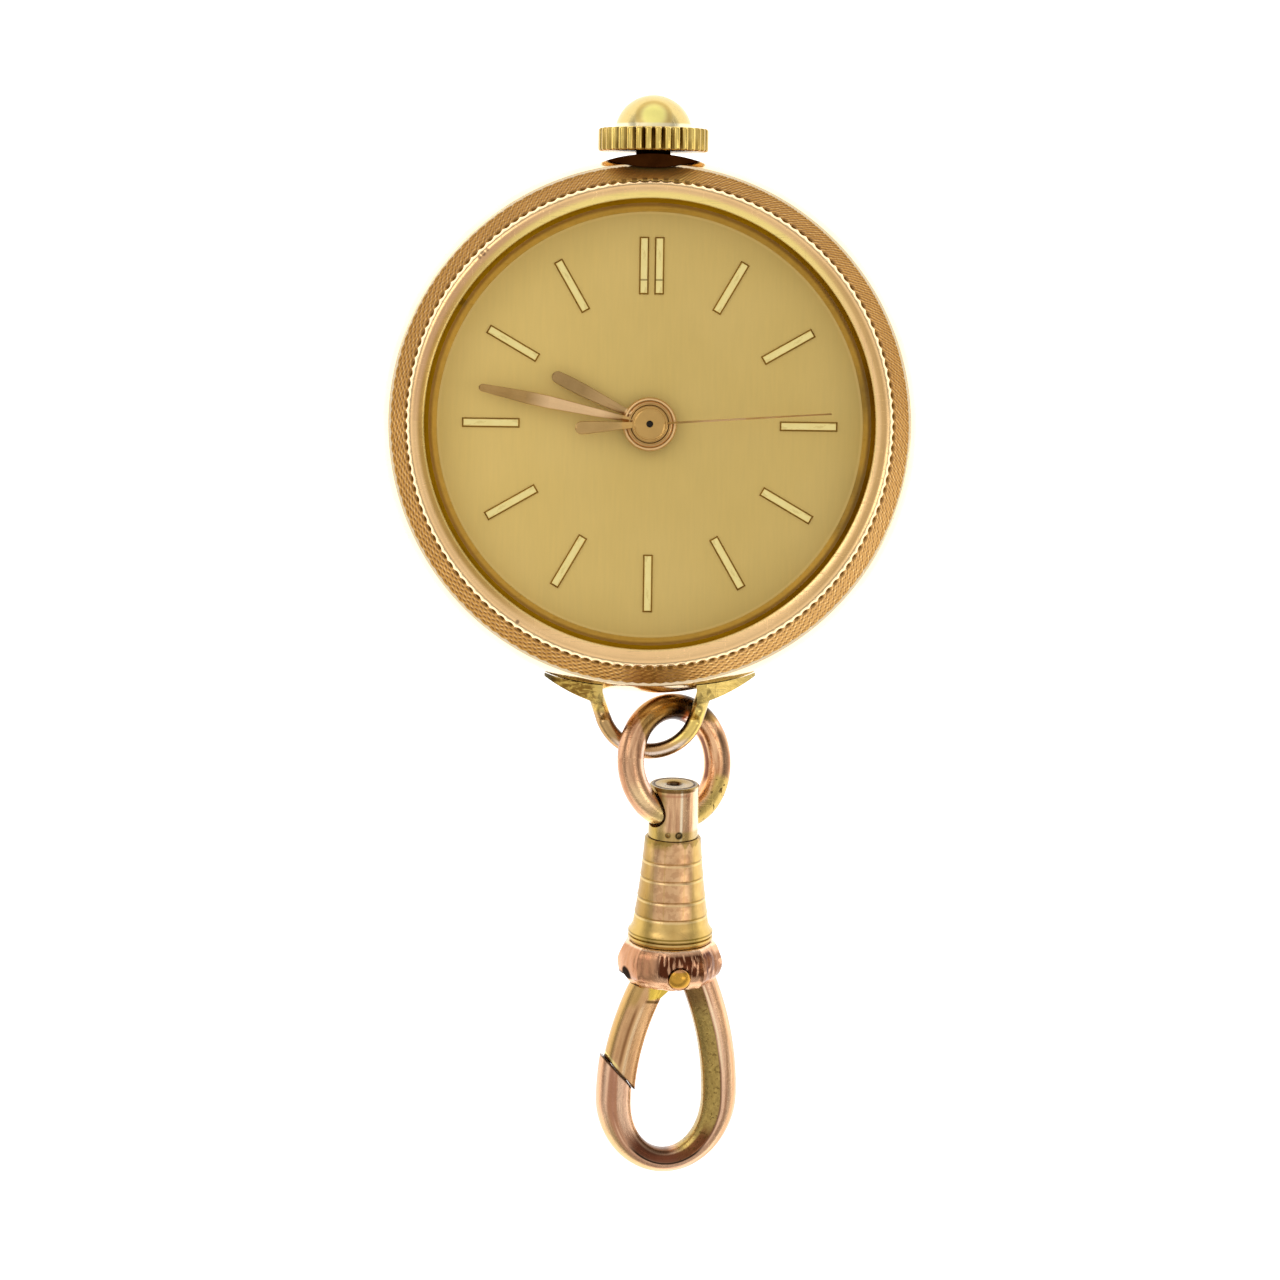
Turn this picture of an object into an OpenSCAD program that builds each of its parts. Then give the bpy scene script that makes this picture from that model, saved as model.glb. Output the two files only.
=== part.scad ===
// Ball pendant watch with a swivel dog clip, lying on its back on a flat surface.
// Millimetres. Z is up out of the dial and Y points from the dial's centre to the crown.
// The origin is the point where the domed back touches the surface.

/* [Case] */
// Outermost diameter, over the polished band
case_d = 28; // [27:0.5:30]
// Height of the polished band
band_h = 3.2; // [3:0.1:3.4]
// How far the band bows out between its edges
band_bow = 0.4; // [0.35:0.05:0.5]
// Height of the band's middle above the surface that the watch lies on
band_mid_z = 6.3; // [6.2:0.1:6.6]
// Rise of the engine-turned ring above the band
knurl_h = 1.3; // [1.1:0.1:1.4]
// Inward run of the engine-turned ring
knurl_run = 0.85; // [0.7:0.05:0.9]
// Wall of the domed back
back_wall = 0.7; // [0.5:0.1:0.9]
// Width of the polished bezel
bezel_w = 0.86; // [0.7:0.02:0.9]
// Height of the crystal's top above the bezel's crest
crystal_rise = 6.45; // [5:0.25:7]
// Wall of the crystal
crystal_wall = 0.9; // [0.6:0.1:1]

/* [Dial] */
// Diameter of the dial that shows inside the sloping wall
dial_d = 22.2; // [21.8:0.1:22.4]
// Thickness of the dial
dial_t = 0.33; // [0.25:0.01:0.4]
// Length of an hour bar
bar_l = 3; // [2:0.1:3.2]
// Width of an hour bar
bar_w = 0.5; // [0.35:0.05:0.6]
// Distance from the dial's centre to the middle of an hour bar
bar_mid = 8.28; // [8:0.02:8.8]
// Distance between the two bars at twelve
bar_pair = 0.8; // [0.7:0.05:1]

/* [Hands] */
// Length of the hour hand from the centre
hour_l = 5.7; // [4.5:0.1:6.2]
// Length of the minute hand from the centre
minute_l = 9.1; // [8:0.1:9.6]
// Length of the seconds hand from the centre
second_l = 9.5; // [8:0.1:9.8]
// Length of the seconds hand's tail
second_tail = 3.9; // [3:0.1:4.5]
// Hour hand, degrees clockwise from twelve
hour_at = 296.4; // [0:0.1:360]
// Minute hand, degrees clockwise from twelve
minute_at = 281.6; // [0:0.1:360]
// Seconds hand, degrees clockwise from twelve
second_at = 86.1; // [0:0.1:360]

/* [Crown] */
// Diameter of the fluted crown
crown_d = 5.75; // [5:0.05:6]
// Height of the crown's fluted wall
crown_h = 1.22; // [1.1:0.02:1.4]
// Number of flutes round the crown
flutes = 34; // [24:1:40]
// Diameter of the bead on the crown
bead_d = 4.02; // [3.6:0.02:4.4]
// Height of the bead
bead_h = 1.76; // [1.5:0.02:1.9]
// How far the crown pulls out
crown_travel = 0.8; // [0.4:0.1:0.9]

/* [Bail] */
// Thickness of the bail's wire
bail_wire = 0.82; // [0.7:0.02:0.84]
// Radius of the bail's round end, to the middle of its wire
bail_r = 2.55; // [2.5:0.05:2.6]
// How far the bail droops below the band's middle plane, in degrees
bail_droop = 6.5; // [6:0.5:7]
// How far round the case the bail is soldered from six o'clock, in degrees
bail_turn = 0.75; // [0:0.25:1]
// Width of the leaf-shaped saddle from tip to tip
saddle_w = 11; // [10:0.1:11.4]

/* [Jump ring] */
// Radius of the jump ring, to the middle of its wire
ring_r = 2.89; // [2.87:0.01:2.9]
// Thickness of the jump ring's wire
ring_wire = 1.38; // [1.3:0.02:1.4]
// Turn of the ring about the watch's long axis, in degrees
ring_turn = 38.3; // [38:0.1:39]
// Tilt of the ring about the crosswise axis, in degrees
ring_tilt = -4.1; // [-4.3:0.1:-3.9]

/* [Dog clip] */
// Length of the clip from the eye's flat top to the end of the hook
clip_l = 21.15; // [21:0.05:21.3]
// Slope of the clip down to the surface, in degrees
clip_slope = 14.84; // [14.5:0.01:15]
// Sideways lean of the clip, in degrees
clip_lean = 0.77; // [0:0.01:1]
// Roll of the hook about its own length, in degrees
clip_roll = 12; // [8:1:13]
// Diameter of the eye
eye_d = 2.6; // [2.5:0.05:2.7]
// Diameter of the barrel at its narrow top
barrel_top_d = 2.94; // [2.8:0.02:3]
// Diameter of the barrel above its flare
barrel_low_d = 3.95; // [3.8:0.05:4]
// Diameter of the hammered collar
collar_d = 5.6; // [5.4:0.1:5.7]
// Half the width between the middles of the hook's two arms
hook_half = 2.83; // [2.7:0.01:2.9]
// Width of the hook's arm
arm_w = 1.84; // [1.6:0.02:1.9]
// Width of the hook at its worn round end
end_w = 1.26; // [1.1:0.02:1.4]
// Thickness of the hook across its plane
arm_t = 1.7; // [1.5:0.05:1.8]
// Diameter of the gate's rivet
rivet_d = 0.8; // [0.7:0.05:0.9]

/* [Hidden] */
hours = [for (h = [1:11]) h];
bar_names = [for (h = hours) str("bar_", h)];

$fn = 96;
// Gap between pieces that are fitted together, and the wider gap of a turning fit
fit = 0.03;
run = 0.05;
// Reach of cutting shapes past what they cut
past = 20;

// Band: an arc that bows out between its two edges
case_r = case_d / 2;
band_arc_r = (band_h * band_h / 4 + band_bow * band_bow) / (2 * band_bow);
band_arc_x = case_r - band_arc_r;
band_lo = band_mid_z - band_h / 2;
band_hi = band_mid_z + band_h / 2;
edge_r = case_r - band_bow;

// Levels of the dial and what holds it
dial_top = band_hi - 0.65;
dial_low = dial_top - dial_t;
movement_top = dial_low - 0.02;
ledge_z = band_lo + 0.7;
movement_r = 11.9;
movement_low_r = 9;
movement_low_z = 2.9;
ledge_r = 11.2;

// Front: engine-turned cone, bezel, sloping wall and crystal
knurl_top = band_hi + knurl_h;
knurl_top_r = edge_r - knurl_run;
bezel_round = bezel_w / 2;
bezel_mid_r = knurl_top_r - bezel_round - 0.04;
bezel_in_r = bezel_mid_r - bezel_round;
bezel_top = knurl_top + 0.55;
wall_top = knurl_top - 0.25;
wall_top_r = bezel_in_r - 0.34;
crystal_r = bezel_in_r - run;
crystal_low = wall_top + fit;
crystal_edge = bezel_top - 0.45;
crystal_top = bezel_top + crystal_rise;
crystal_dome = crystal_top - crystal_edge;
crystal_ball = (crystal_r * crystal_r + crystal_dome * crystal_dome) / (2 * crystal_dome);
crystal_mid = crystal_top - crystal_ball;

// Back: a shallow dome below a short rim
back_r = edge_r - 0.1;
back_rim_top = band_lo - fit;
back_rim_low = back_rim_top - 0.3;
back_rim_w = 1.1;
back_ball = (back_r * back_r + back_rim_low * back_rim_low) / (2 * back_rim_low);

// Arbor steps that carry the hands, each as [radius, height of its top above the dial]
post_hour = [0.6, 1.17];
post_minute = [0.4, 1.51];
post_second = [0.15, 1.73];
shoulder_r = 0.9;
shoulder_top = 0.85;
hand_lift = 0.02;
hour_t = 0.18;
minute_t = 0.16;
second_t = 0.12;

// Crown, measured along Y from the dial's centre
crown_y = case_r + 0.25;
stem_r = 0.4;
tube_r = 0.9;
tube_top = crown_y + 0.9;
stem_in = case_r - 3 - crown_travel;
stem_out = crown_y + 1.95;
seat_w = 5.7;
seat_top = case_r + 0.08;
seat_half_z = 2;

// Bail and saddle
bail_span = 72;
bail_mid_y = -(case_r + 0.49);
bail_leg = 1.3;
leaf_half_z = 1.5;
saddle_shoulder = [2.8, case_r + 0.5];
saddle_tip = [saddle_w / 2, case_r - 0.9];
saddle_gap = 2.45;
saddle_room = 0.12;

// Jump ring, placed against the case's edge
ring_at = [1.51, -(case_r + 3.56), band_mid_z - 0.74];

// Dog clip, measured down its length from the eye's flat top
eye_top = [1.53, -(case_r + 4.7), band_mid_z - 0.05];
hole_r = 0.82;
barrel_at = 2.82;
flare_at = 7.9;
collar_at = 8.45;
collar_end = 10.7;
collar_mid = 9.55;
collar_round = 1.55;
stud_r = 0.6;
stud_head_r = 1;
stud_head_at = 6.1;
stud_end = 6.6;
chamber_r = stud_head_r + run;
pivot_at = 9.9;
slot_t = 1.1;
tail_t = 1;
tail_r = 0.95;
groove_at = [4.04, 4.97, 6.08, 7];
groove_r = 0.07;

// Hook: both arms are parabolas above a half ellipse
hook_mid = 17;
hook_drop = clip_l - end_w / 2 - hook_mid;
arm_bow = 0.0318;
gate_half = 2.66;
gate_bow = 0.037;
gate_mid = 17.3;
gate_top = collar_end + 0.1;
joint_mid = [-2.52, 15.68];
joint_angle = 47.6;
joint_gap = 0.08;
sides = 20;
squareness = 2.5;
inner_bevel = 0.45;

function radius_through(half, rise) = (half * half + rise * rise) / (2 * rise);

// Case pieces

// Section of the band, grown by a gap, filled in to the axis
module band_section(grow) {
  intersection() {
    translate([band_arc_x, band_mid_z]) circle(band_arc_r + grow);
    translate([0, band_lo - grow]) square([case_r + 1, band_h + 2 * grow]);
  }
  translate([0, band_lo - grow]) square([band_arc_x, band_h + 2 * grow]);
}

// Everything that the saddle and the crown's seat must hug, grown by a gap
module case_envelope(grow) {
  rotate_extrude() {
    band_section(grow);
    polygon([
      [0, band_hi - 0.1],
      [edge_r + grow, band_hi - 0.1],
      [edge_r + grow, band_hi + grow],
      [knurl_top_r + grow, knurl_top],
      [0, knurl_top]
    ]);
    translate([0, back_rim_low - 1]) square([back_r + grow, band_lo + 1 - back_rim_low]);
  }
}

module case_band() {
  color([0.93, 0.76, 0.5])
    difference() {
      rotate_extrude() difference() {
        band_section(0);
        square([ledge_r, past]);
        translate([0, ledge_z]) square([movement_r + run, past]);
        translate([0, dial_top]) square([bezel_mid_r + run, past]);
      }
      crown_axis() translate([0, 0, stem_in]) cylinder(r = stem_r + run, h = case_r);
    }
}

module back() {
  color([0.9, 0.72, 0.46])
    rotate_extrude() difference() {
      intersection() {
        translate([0, back_ball]) circle(back_ball);
        square([back_r, back_rim_top]);
      }
      intersection() {
        translate([0, back_ball]) circle(back_ball - back_wall);
        square([back_r - back_rim_w, past]);
      }
    }
}

module knurled_ring() {
  foot_r = bezel_mid_r + fit;
  color([0.71, 0.52, 0.28])
    rotate_extrude() polygon([
      [foot_r, band_hi + fit],
      [edge_r, band_hi + fit],
      [knurl_top_r, knurl_top],
      [foot_r, knurl_top]
    ]);
}

module bezel() {
  foot_h = bezel_top - bezel_round - dial_top - fit;
  color([0.94, 0.77, 0.58])
    rotate_extrude() {
      intersection() {
        translate([bezel_mid_r, bezel_top - bezel_round]) circle(bezel_round);
        translate([0, knurl_top + fit]) square([case_r, 1]);
      }
      translate([bezel_in_r, dial_top + fit]) square([bezel_mid_r - bezel_in_r, foot_h]);
    }
}

module dial_wall() {
  color([0.45, 0.34, 0.12])
    rotate_extrude() polygon([
      [dial_d / 2, dial_top + fit],
      [bezel_in_r - fit, dial_top + fit],
      [bezel_in_r - fit, wall_top],
      [wall_top_r, wall_top]
    ]);
}

module crystal() {
  color([0.85, 0.92, 0.95, 0.35])
    rotate_extrude() difference() {
      union() {
        intersection() {
          translate([0, crystal_mid]) circle(crystal_ball);
          translate([0, crystal_edge]) square([case_r, past]);
        }
        translate([0, crystal_low]) square([crystal_r, crystal_edge - crystal_low]);
      }
      intersection() {
        translate([0, crystal_mid]) circle(crystal_ball - crystal_wall);
        square([case_r, past]);
      }
    }
}

// Dial, movement and hands

module dial() {
  color([0.79, 0.68, 0.42])
    translate([0, 0, dial_low]) difference() {
      cylinder(r = movement_r, h = dial_t);
      translate([0, 0, -1]) cylinder(r = shoulder_r + fit, h = 2);
    }
}

module movement() {
  color([0.6, 0.58, 0.52])
    difference() {
      union() {
        translate([0, 0, ledge_z + 0.01]) cylinder(r = movement_r, h = movement_top - ledge_z - 0.01);
        translate([0, 0, movement_low_z]) cylinder(r = movement_low_r, h = ledge_z - movement_low_z + 0.5);
      }
      crown_axis() translate([0, 0, stem_in - 1]) cylinder(r = stem_r + run, h = case_r);
      translate([0, 0, movement_top - 0.5]) cylinder(r = shoulder_r + fit, h = 1);
    }
}

module hand_arbor() {
  foot = movement_top - 0.48;
  color([0.16, 0.15, 0.14]) {
    translate([0, 0, foot]) cylinder(r = shoulder_r, h = dial_top + shoulder_top - foot);
    for (post = [post_hour, post_minute, post_second])
      translate([0, 0, foot]) cylinder(r = post[0], h = dial_top + post[1] - foot);
  }
}

// One applied bar: a low ridge with sloping sides, lying along Y
module hour_bar() {
  bar_t = 0.2;
  slope = 0.08;
  color([0.93, 0.85, 0.55])
    translate([0, bar_l / 2, dial_top + 0.01]) rotate([90, 0, 0]) linear_extrude(bar_l) polygon([
      [-bar_w / 2, 0],
      [bar_w / 2, 0],
      [bar_w / 2 - slope, bar_t],
      [slope - bar_w / 2, bar_t]
    ]);
}

module bar_at(hour) rotate([0, 0, -30 * hour]) translate([0, bar_mid, 0]) hour_bar();

// A hand's hub ring and blade, lying along Y from the centre
module hand(at, base, thick, hub_r, post_r, blade) {
  rotate([0, 0, -at]) translate([0, 0, dial_top + base]) difference() {
    union() {
      cylinder(r = hub_r, h = thick);
      linear_extrude(thick) polygon(blade);
    }
    translate([0, 0, -1]) cylinder(r = post_r + fit, h = 2);
  }
}

// Half outline of a blade from its named widths, mirrored to the other side
function leaf(half) = concat(half, [for (i = [len(half) - 1:-1:0]) [-half[i][0], half[i][1]]]);

module hour_hand() {
  root_half = 0.22;
  belly_half = 0.34;
  color([0.85, 0.66, 0.52])
    hand(hour_at, shoulder_top + hand_lift, hour_t, 1.4, post_hour[0], leaf([
      [root_half, 0],
      [root_half, 1.6],
      [belly_half, 3.6],
      [belly_half, hour_l - 0.6],
      [belly_half * 0.75, hour_l - 0.2],
      [belly_half * 0.3, hour_l]
    ]));
}

module minute_hand() {
  root_half = 0.16;
  belly_half = 0.34;
  tip_half = 0.2;
  color([0.85, 0.66, 0.52])
    hand(minute_at, post_hour[1] + hand_lift, minute_t, 1.1, post_minute[0], leaf([
      [root_half, 0],
      [root_half, 1.4],
      [belly_half, 5.8],
      [tip_half, minute_l - 0.15],
      [tip_half * 0.5, minute_l]
    ]));
}

module seconds_hand() {
  needle_half = 0.06;
  tail_half = 0.34;
  color([0.87, 0.68, 0.5])
    hand(second_at, post_minute[1] + hand_lift, second_t, 0.92, post_second[0], leaf([
      [needle_half, second_l],
      [needle_half, 0],
      [tail_half, -second_tail]
    ]));
}

// Crown, with its own axis turned from Z to Y

module crown_axis() translate([0, 0, band_mid_z]) rotate([-90, 0, 0]) children();

module crown_seat() {
  sagitta = 0.46;
  round_r = radius_through(seat_w / 2, sagitta);
  leaf_r = radius_through(seat_w / 2, seat_half_z);
  color([0.3, 0.19, 0.09])
    difference() {
      union() {
        intersection() {
          translate([0, seat_top - round_r, band_mid_z - seat_half_z - 1])
            cylinder(r = round_r, h = 2 * seat_half_z + 2);
          intersection_for (side = [-1, 1])
            translate([0, 0, band_mid_z + side * (leaf_r - seat_half_z)])
              rotate([-90, 0, 0]) cylinder(r = leaf_r, h = case_r + 1);
        }
        crown_axis() translate([0, 0, case_r - 1]) cylinder(r = tube_r, h = tube_top - case_r + 1);
      }
      case_envelope(fit);
      crown_axis() cylinder(r = stem_r + run, h = past);
    }
}

module crown_stem() {
  color([0.55, 0.55, 0.55])
    crown_axis() translate([0, 0, stem_in]) cylinder(r = stem_r, h = stem_out - stem_in);
}

module crown() {
  flute_r = 0.2;
  corner = 0.11;
  rim_r = crown_d / 2;
  bead_r = radius_through(bead_d / 2, bead_h);
  bead_top = crown_y + crown_h + bead_h;
  color([0.86, 0.7, 0.3])
    crown_axis() difference() {
      rotate_extrude() {
        polygon([
          [0, crown_y],
          [rim_r - corner, crown_y],
          [rim_r, crown_y + corner],
          [rim_r, crown_y + crown_h - corner],
          [rim_r - corner, crown_y + crown_h],
          [0, crown_y + crown_h]
        ]);
        intersection() {
          translate([0, bead_top - bead_r]) circle(bead_r);
          translate([0, crown_y + crown_h]) square([bead_r, bead_h]);
        }
      }
      for (i = [0:flutes - 1])
        rotate([0, 0, 360 * (i + 0.5) / flutes]) translate([rim_r + 0.03, 0, crown_y - 1])
          cylinder(r = flute_r, h = crown_h + 1.6);
      translate([0, 0, crown_y - 1]) cylinder(r = tube_r + run, h = tube_top + fit + 1 - crown_y);
      translate([0, 0, crown_y]) cylinder(r = stem_r + fit, h = stem_out + fit - crown_y);
    }
}

// Bail: a leaf-shaped saddle with a drooping wire loop, soldered into one piece

module bail_loop() {
  leg_at = bail_r * [cos(bail_span - 90), sin(bail_span - 90)];
  // The legs are a hair thinner than the round end and start inside it
  slimmer = 0.02;
  lap = 0.1;
  rotate([0, 0, -90 - bail_span])
    rotate_extrude(angle = 2 * bail_span) translate([bail_r, 0]) circle(bail_wire / 2);
  for (side = [0, 1])
    mirror([side, 0, 0]) translate([leg_at[0], leg_at[1], 0]) rotate([0, 0, bail_span - 90])
      rotate([-90, 0, 0]) translate([0, 0, -lap]) cylinder(d = bail_wire - slimmer, h = bail_leg + lap);
}

module bail() {
  // Circle through the saddle's tip and its shoulder, centred on the Y axis
  tip = saddle_tip;
  shoulder = saddle_shoulder;
  centre = (tip[0] * tip[0] + tip[1] * tip[1] - shoulder[0] * shoulder[0] - shoulder[1] * shoulder[1])
    / (2 * (tip[1] - shoulder[1]));
  round_r = norm([shoulder[0], shoulder[1] - centre]);
  leaf_r = radius_through(saddle_w / 2, leaf_half_z);
  hinge_y = -(case_r + 0.2);
  color([0.84, 0.68, 0.36])
    rotate([0, 0, bail_turn]) difference() {
      union() {
        difference() {
          intersection() {
            translate([0, 0, band_mid_z - leaf_half_z - 1]) linear_extrude(2 * leaf_half_z + 2) difference() {
              translate([0, -centre]) circle(round_r);
              translate([-saddle_gap, -case_r - 2]) square([2 * saddle_gap, 4]);
            }
            intersection_for (side = [-1, 1])
              translate([0, 0, band_mid_z + side * (leaf_r - leaf_half_z)])
                rotate([90, 0, 0]) cylinder(r = leaf_r, h = case_r + 2);
          }
          rotate([0, 0, -bail_turn]) ring_place()
            rotate_extrude() translate([ring_r, 0]) circle(ring_wire / 2 + saddle_room);
        }
        translate([0, hinge_y, band_mid_z]) rotate([bail_droop, 0, 0])
          translate([0, bail_mid_y - hinge_y, 0]) bail_loop();
      }
      case_envelope(fit);
    }
}

// Jump ring: round wire with slightly flat faces

module ring_place() translate(ring_at) rotate([ring_tilt, 0, 0]) rotate([0, ring_turn, 0]) children();

module jump_ring() {
  color([0.8, 0.6, 0.44])
    ring_place() rotate_extrude() translate([ring_r, 0]) intersection() {
      circle(d = ring_wire * 1.06);
      square(ring_wire, center = true);
    }
}

// Dog clip. Inside on_clip the eye's flat top is the origin, the clip runs down -Z,
// X crosses it and -Y is the side that faces up.

module on_clip() translate(eye_top) rotate([clip_slope - 90, 0, -clip_lean]) children();

module rolled() rotate([0, 0, clip_roll]) children();

// The eye is turned with its stud, then cross drilled for the ring
module swivel_eye() {
  eye_low = fit - barrel_at;
  dimple_r = 0.4;
  dimple_deep = 0.3;
  pit_r = 0.12;
  pit_at = 0.34 - barrel_at;
  color([0.82, 0.65, 0.42])
    difference() {
      on_clip() difference() {
        rotate_extrude() polygon([
          [0, 0],
          [eye_d / 2, 0],
          [eye_d / 2, eye_low],
          [stud_r, eye_low],
          [stud_r, -stud_head_at],
          [stud_head_r, -stud_head_at],
          [stud_head_r, -stud_end],
          [0, -stud_end]
        ]);
        translate([0, 0, -dimple_deep]) cylinder(r = dimple_r, h = 1);
        for (pit = [-12, 14])
          rotate([0, 0, pit]) translate([0, -eye_d / 2, pit_at])
            rotate([90, 0, 0]) cylinder(r = pit_r, h = 0.4, center = true);
      }
      ring_place() rotate_extrude() translate([ring_r, 0]) circle(hole_r);
    }
}

module clip_barrel() {
  top_r = barrel_top_d / 2;
  low_r = barrel_low_d / 2;
  flare_r = low_r + 0.24;
  stud_bore = stud_r + 0.04;
  color([0.82, 0.64, 0.4])
    on_clip() difference() {
      rotate_extrude() {
        polygon([
          [0, -barrel_at],
          [top_r - 0.06, -barrel_at],
          [top_r, -barrel_at - 0.08],
          [low_r, -flare_at + 0.4],
          [flare_r, -flare_at],
          [flare_r, -collar_at + 0.2],
          [flare_r - 0.08, -collar_at + fit],
          [1, -collar_at + fit],
          [1, -collar_at - 0.3],
          [0, -collar_at - 0.3]
        ]);
      }
      for (at = groove_at)
        translate([0, 0, -at]) rotate_extrude()
          translate([top_r + (low_r - top_r) * (at - barrel_at) / (flare_at - 0.4 - barrel_at), 0])
            circle(groove_r, $fn = 24);
      translate([0, 0, -flare_at - 0.22]) rotate_extrude() translate([flare_r, 0]) circle(groove_r, $fn = 24);
      translate([0, 0, -stud_head_at]) cylinder(r = stud_bore, h = stud_head_at);
      translate([0, 0, -stud_end - fit]) cylinder(r = chamber_r, h = stud_end - stud_head_at + 2 * fit);
    }
}

// Middle of an arm at a distance down the clip
function arm_x(at, half, bow, mid) = half - bow * (mid - at) * (mid - at);

// Swept wire through [x, distance down the clip] points, with half widths and half
// thicknesses, thinner towards its inner side
function unit(v) = v / norm(v);
function bulged(v, power) = sign(v) * pow(abs(v), 2 / power);
function ring_points(at, inward, half_w, half_t) = [
  for (k = [0:sides - 1])
    let (
      side = bulged(cos(360 * k / sides), squareness),
      depth = bulged(sin(360 * k / sides), squareness),
      taper = 1 - inner_bevel * max(0, side)
    )
      [at[0] + inward[0] * side * half_w, depth * half_t * taper, -at[1] - inward[1] * side * half_w]
];

module sweep(path, half_w, half_t) {
  last = len(path) - 1;
  rings = [
    for (i = [0:last])
      let (along = unit(path[min(i + 1, last)] - path[max(i - 1, 0)]))
        each ring_points(path[i], [-along[1], along[0]], half_w[i], half_t[i])
  ];
  walls = [
    for (i = [0:last - 1], k = [0:sides - 1])
      let (a = i * sides + k, b = i * sides + (k + 1) % sides)
        each [[a, a + sides, b], [b, a + sides, b + sides]]
  ];
  caps = [[for (k = [0:sides - 1]) k], [for (k = [sides - 1:-1:0]) last * sides + k]];
  polyhedron(rings, concat(walls, caps));
}

// The hook's wire: right arm, round end, then the fixed tip on the left
module hook_wire() {
  arm_top = 9.9;
  tip_top = 14;
  arm_n = 10;
  end_n = 24;
  tip_n = 5;
  function arm_point(at) = [arm_x(at, hook_half, arm_bow, hook_mid), at];
  right = [for (i = [0:arm_n - 1]) arm_point(arm_top + (hook_mid - arm_top) * i / arm_n)];
  round_end = [
    for (i = [0:end_n])
      let (a = 90 - 180 * i / end_n) [hook_half * sin(a), hook_mid + hook_drop * cos(a)]
  ];
  left = [
    for (i = [1:tip_n])
      let (p = arm_point(hook_mid - (hook_mid - tip_top) * i / tip_n)) [-p[0], p[1]]
  ];
  path = concat(right, round_end, left);
  slim = [for (p = path) pow(max(0, (p[1] - hook_mid) / hook_drop), 1.5)];
  sweep(
    path,
    [for (s = slim) (arm_w + (end_w - arm_w) * s) / 2],
    [for (s = slim) arm_t / 2 * (1 - 0.06 * s)]
  );
}

// Half space on one side of the oblique joint between the gate and the fixed tip
module beyond_joint(side) {
  reach = 3;
  translate([joint_mid[0], 0, -joint_mid[1]]) rotate([0, joint_angle, 0])
    translate([-reach, -reach, side > 0 ? -joint_gap / 2 : joint_gap / 2 - reach])
      cube([2 * reach, 2 * reach, reach]);
}

module rivet_axis() translate([0, 0, -pivot_at]) rotate([90, 0, 0]) children();

module collar() {
  rotate_extrude() intersection() {
    union() {
      translate([collar_d / 2 - collar_round, -collar_mid]) circle(collar_round);
      translate([0, -collar_end]) square([collar_d / 2 - collar_round, collar_end - collar_at]);
    }
    translate([0, -collar_end]) square([collar_d, collar_end - collar_at]);
  }
}

// Room for the gate's tail: round above the rivet, open below and at the collar's lower left
module gate_slot() {
  room = 0.1;
  low = gate_top + 0.15;
  reach = 1.2;
  mouth = 10.12;
  translate([0, slot_t / 2, 0]) rotate([90, 0, 0]) linear_extrude(slot_t) {
    translate([0, -pivot_at]) circle(tail_r + room);
    polygon([
      [-0.7, -pivot_at + 0.7],
      [reach, -pivot_at],
      [reach, -low],
      [-past, -low],
      [-past, -mouth],
      [-1.55, -mouth]
    ]);
  }
}

module hook() {
  head_seat = 2.58;
  head_room = 0.68;
  color([0.77, 0.55, 0.4])
    on_clip() rolled() difference() {
      union() {
        collar();
        difference() {
          hook_wire();
          beyond_joint(1);
        }
      }
      gate_slot();
      translate([0, 0, -collar_at - 0.33]) cylinder(r = 1 + fit, h = 1);
      rivet_axis() cylinder(d = rivet_d + fit, h = past, center = true);
      for (side = [0, 1])
        rivet_axis() mirror([0, 0, side]) translate([0, 0, head_seat]) cylinder(r = head_room, h = 2);
    }
}

module gate() {
  top = gate_top;
  low = 17;
  n = 9;
  path = [
    for (i = [0:n])
      let (at = top + (low - top) * i / n) [-arm_x(at, gate_half, gate_bow, gate_mid), at]
  ];
  flipped = [for (i = [n:-1:0]) path[i]];
  color([0.8, 0.59, 0.42])
    on_clip() rolled() difference() {
      union() {
        difference() {
          sweep(flipped, [for (p = path) arm_w / 2], [for (p = path) arm_t / 2]);
          beyond_joint(-1);
          translate([-past / 2, -past / 2, -collar_end - run]) cube(past);
        }
        translate([0, tail_t / 2, 0]) rotate([90, 0, 0]) linear_extrude(tail_t) {
          translate([0, -pivot_at]) circle(tail_r);
          polygon([
            [-0.6, -pivot_at + 0.6],
            [0.5, -pivot_at - 0.7],
            [-0.5, -top - 0.7],
            [-1.95, -top - 0.7],
            [-1.8, -top + 0.2]
          ]);
        }
      }
      rivet_axis() cylinder(d = rivet_d + 2 * run, h = past, center = true);
    }
}

module rivet() {
  head_at = 2.6;
  head_r = 0.62;
  rivet_ball = radius_through(head_r, 0.3);
  color([0.85, 0.63, 0.25])
    on_clip() rolled() rivet_axis() {
      cylinder(d = rivet_d, h = 2 * head_at, center = true);
      for (side = [0, 1])
        mirror([0, 0, side]) translate([0, 0, head_at]) intersection() {
          translate([0, 0, 0.3 - rivet_ball]) sphere(rivet_ball);
          cylinder(r = head_r + 1, h = 1);
        }
    }
}

case_band();
back();
knurled_ring();
bezel();
dial_wall();
crystal();
dial();
movement();
hand_arbor();
for (h = hours)
  bar_at(h);
translate([-bar_pair / 2, 0, 0]) bar_at(0);  // bar_12_left
translate([bar_pair / 2, 0, 0]) bar_at(0);  // bar_12_right
hour_hand();
minute_hand();
seconds_hand();
crown_seat();
crown_stem();
crown();
bail();
jump_ring();
swivel_eye();
clip_barrel();
hook();
gate();
rivet();
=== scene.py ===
# %% [markdown]
# # A ball pendant watch and its dog clip
# The solids of the watch are already made and packed: they say where everything is and how big it is.
# This lesson dresses them. It makes the visible surfaces again as smooth meshes, with the small shapes
# that a plain solid leaves out, and gives every surface the gold, glass or tarnish that the real one has.
# Everything stays in the solids' own frame: Z is up out of the dial, Y points at the crown, and the
# origin is where the domed back touches the table.

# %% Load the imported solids
import math

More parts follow.
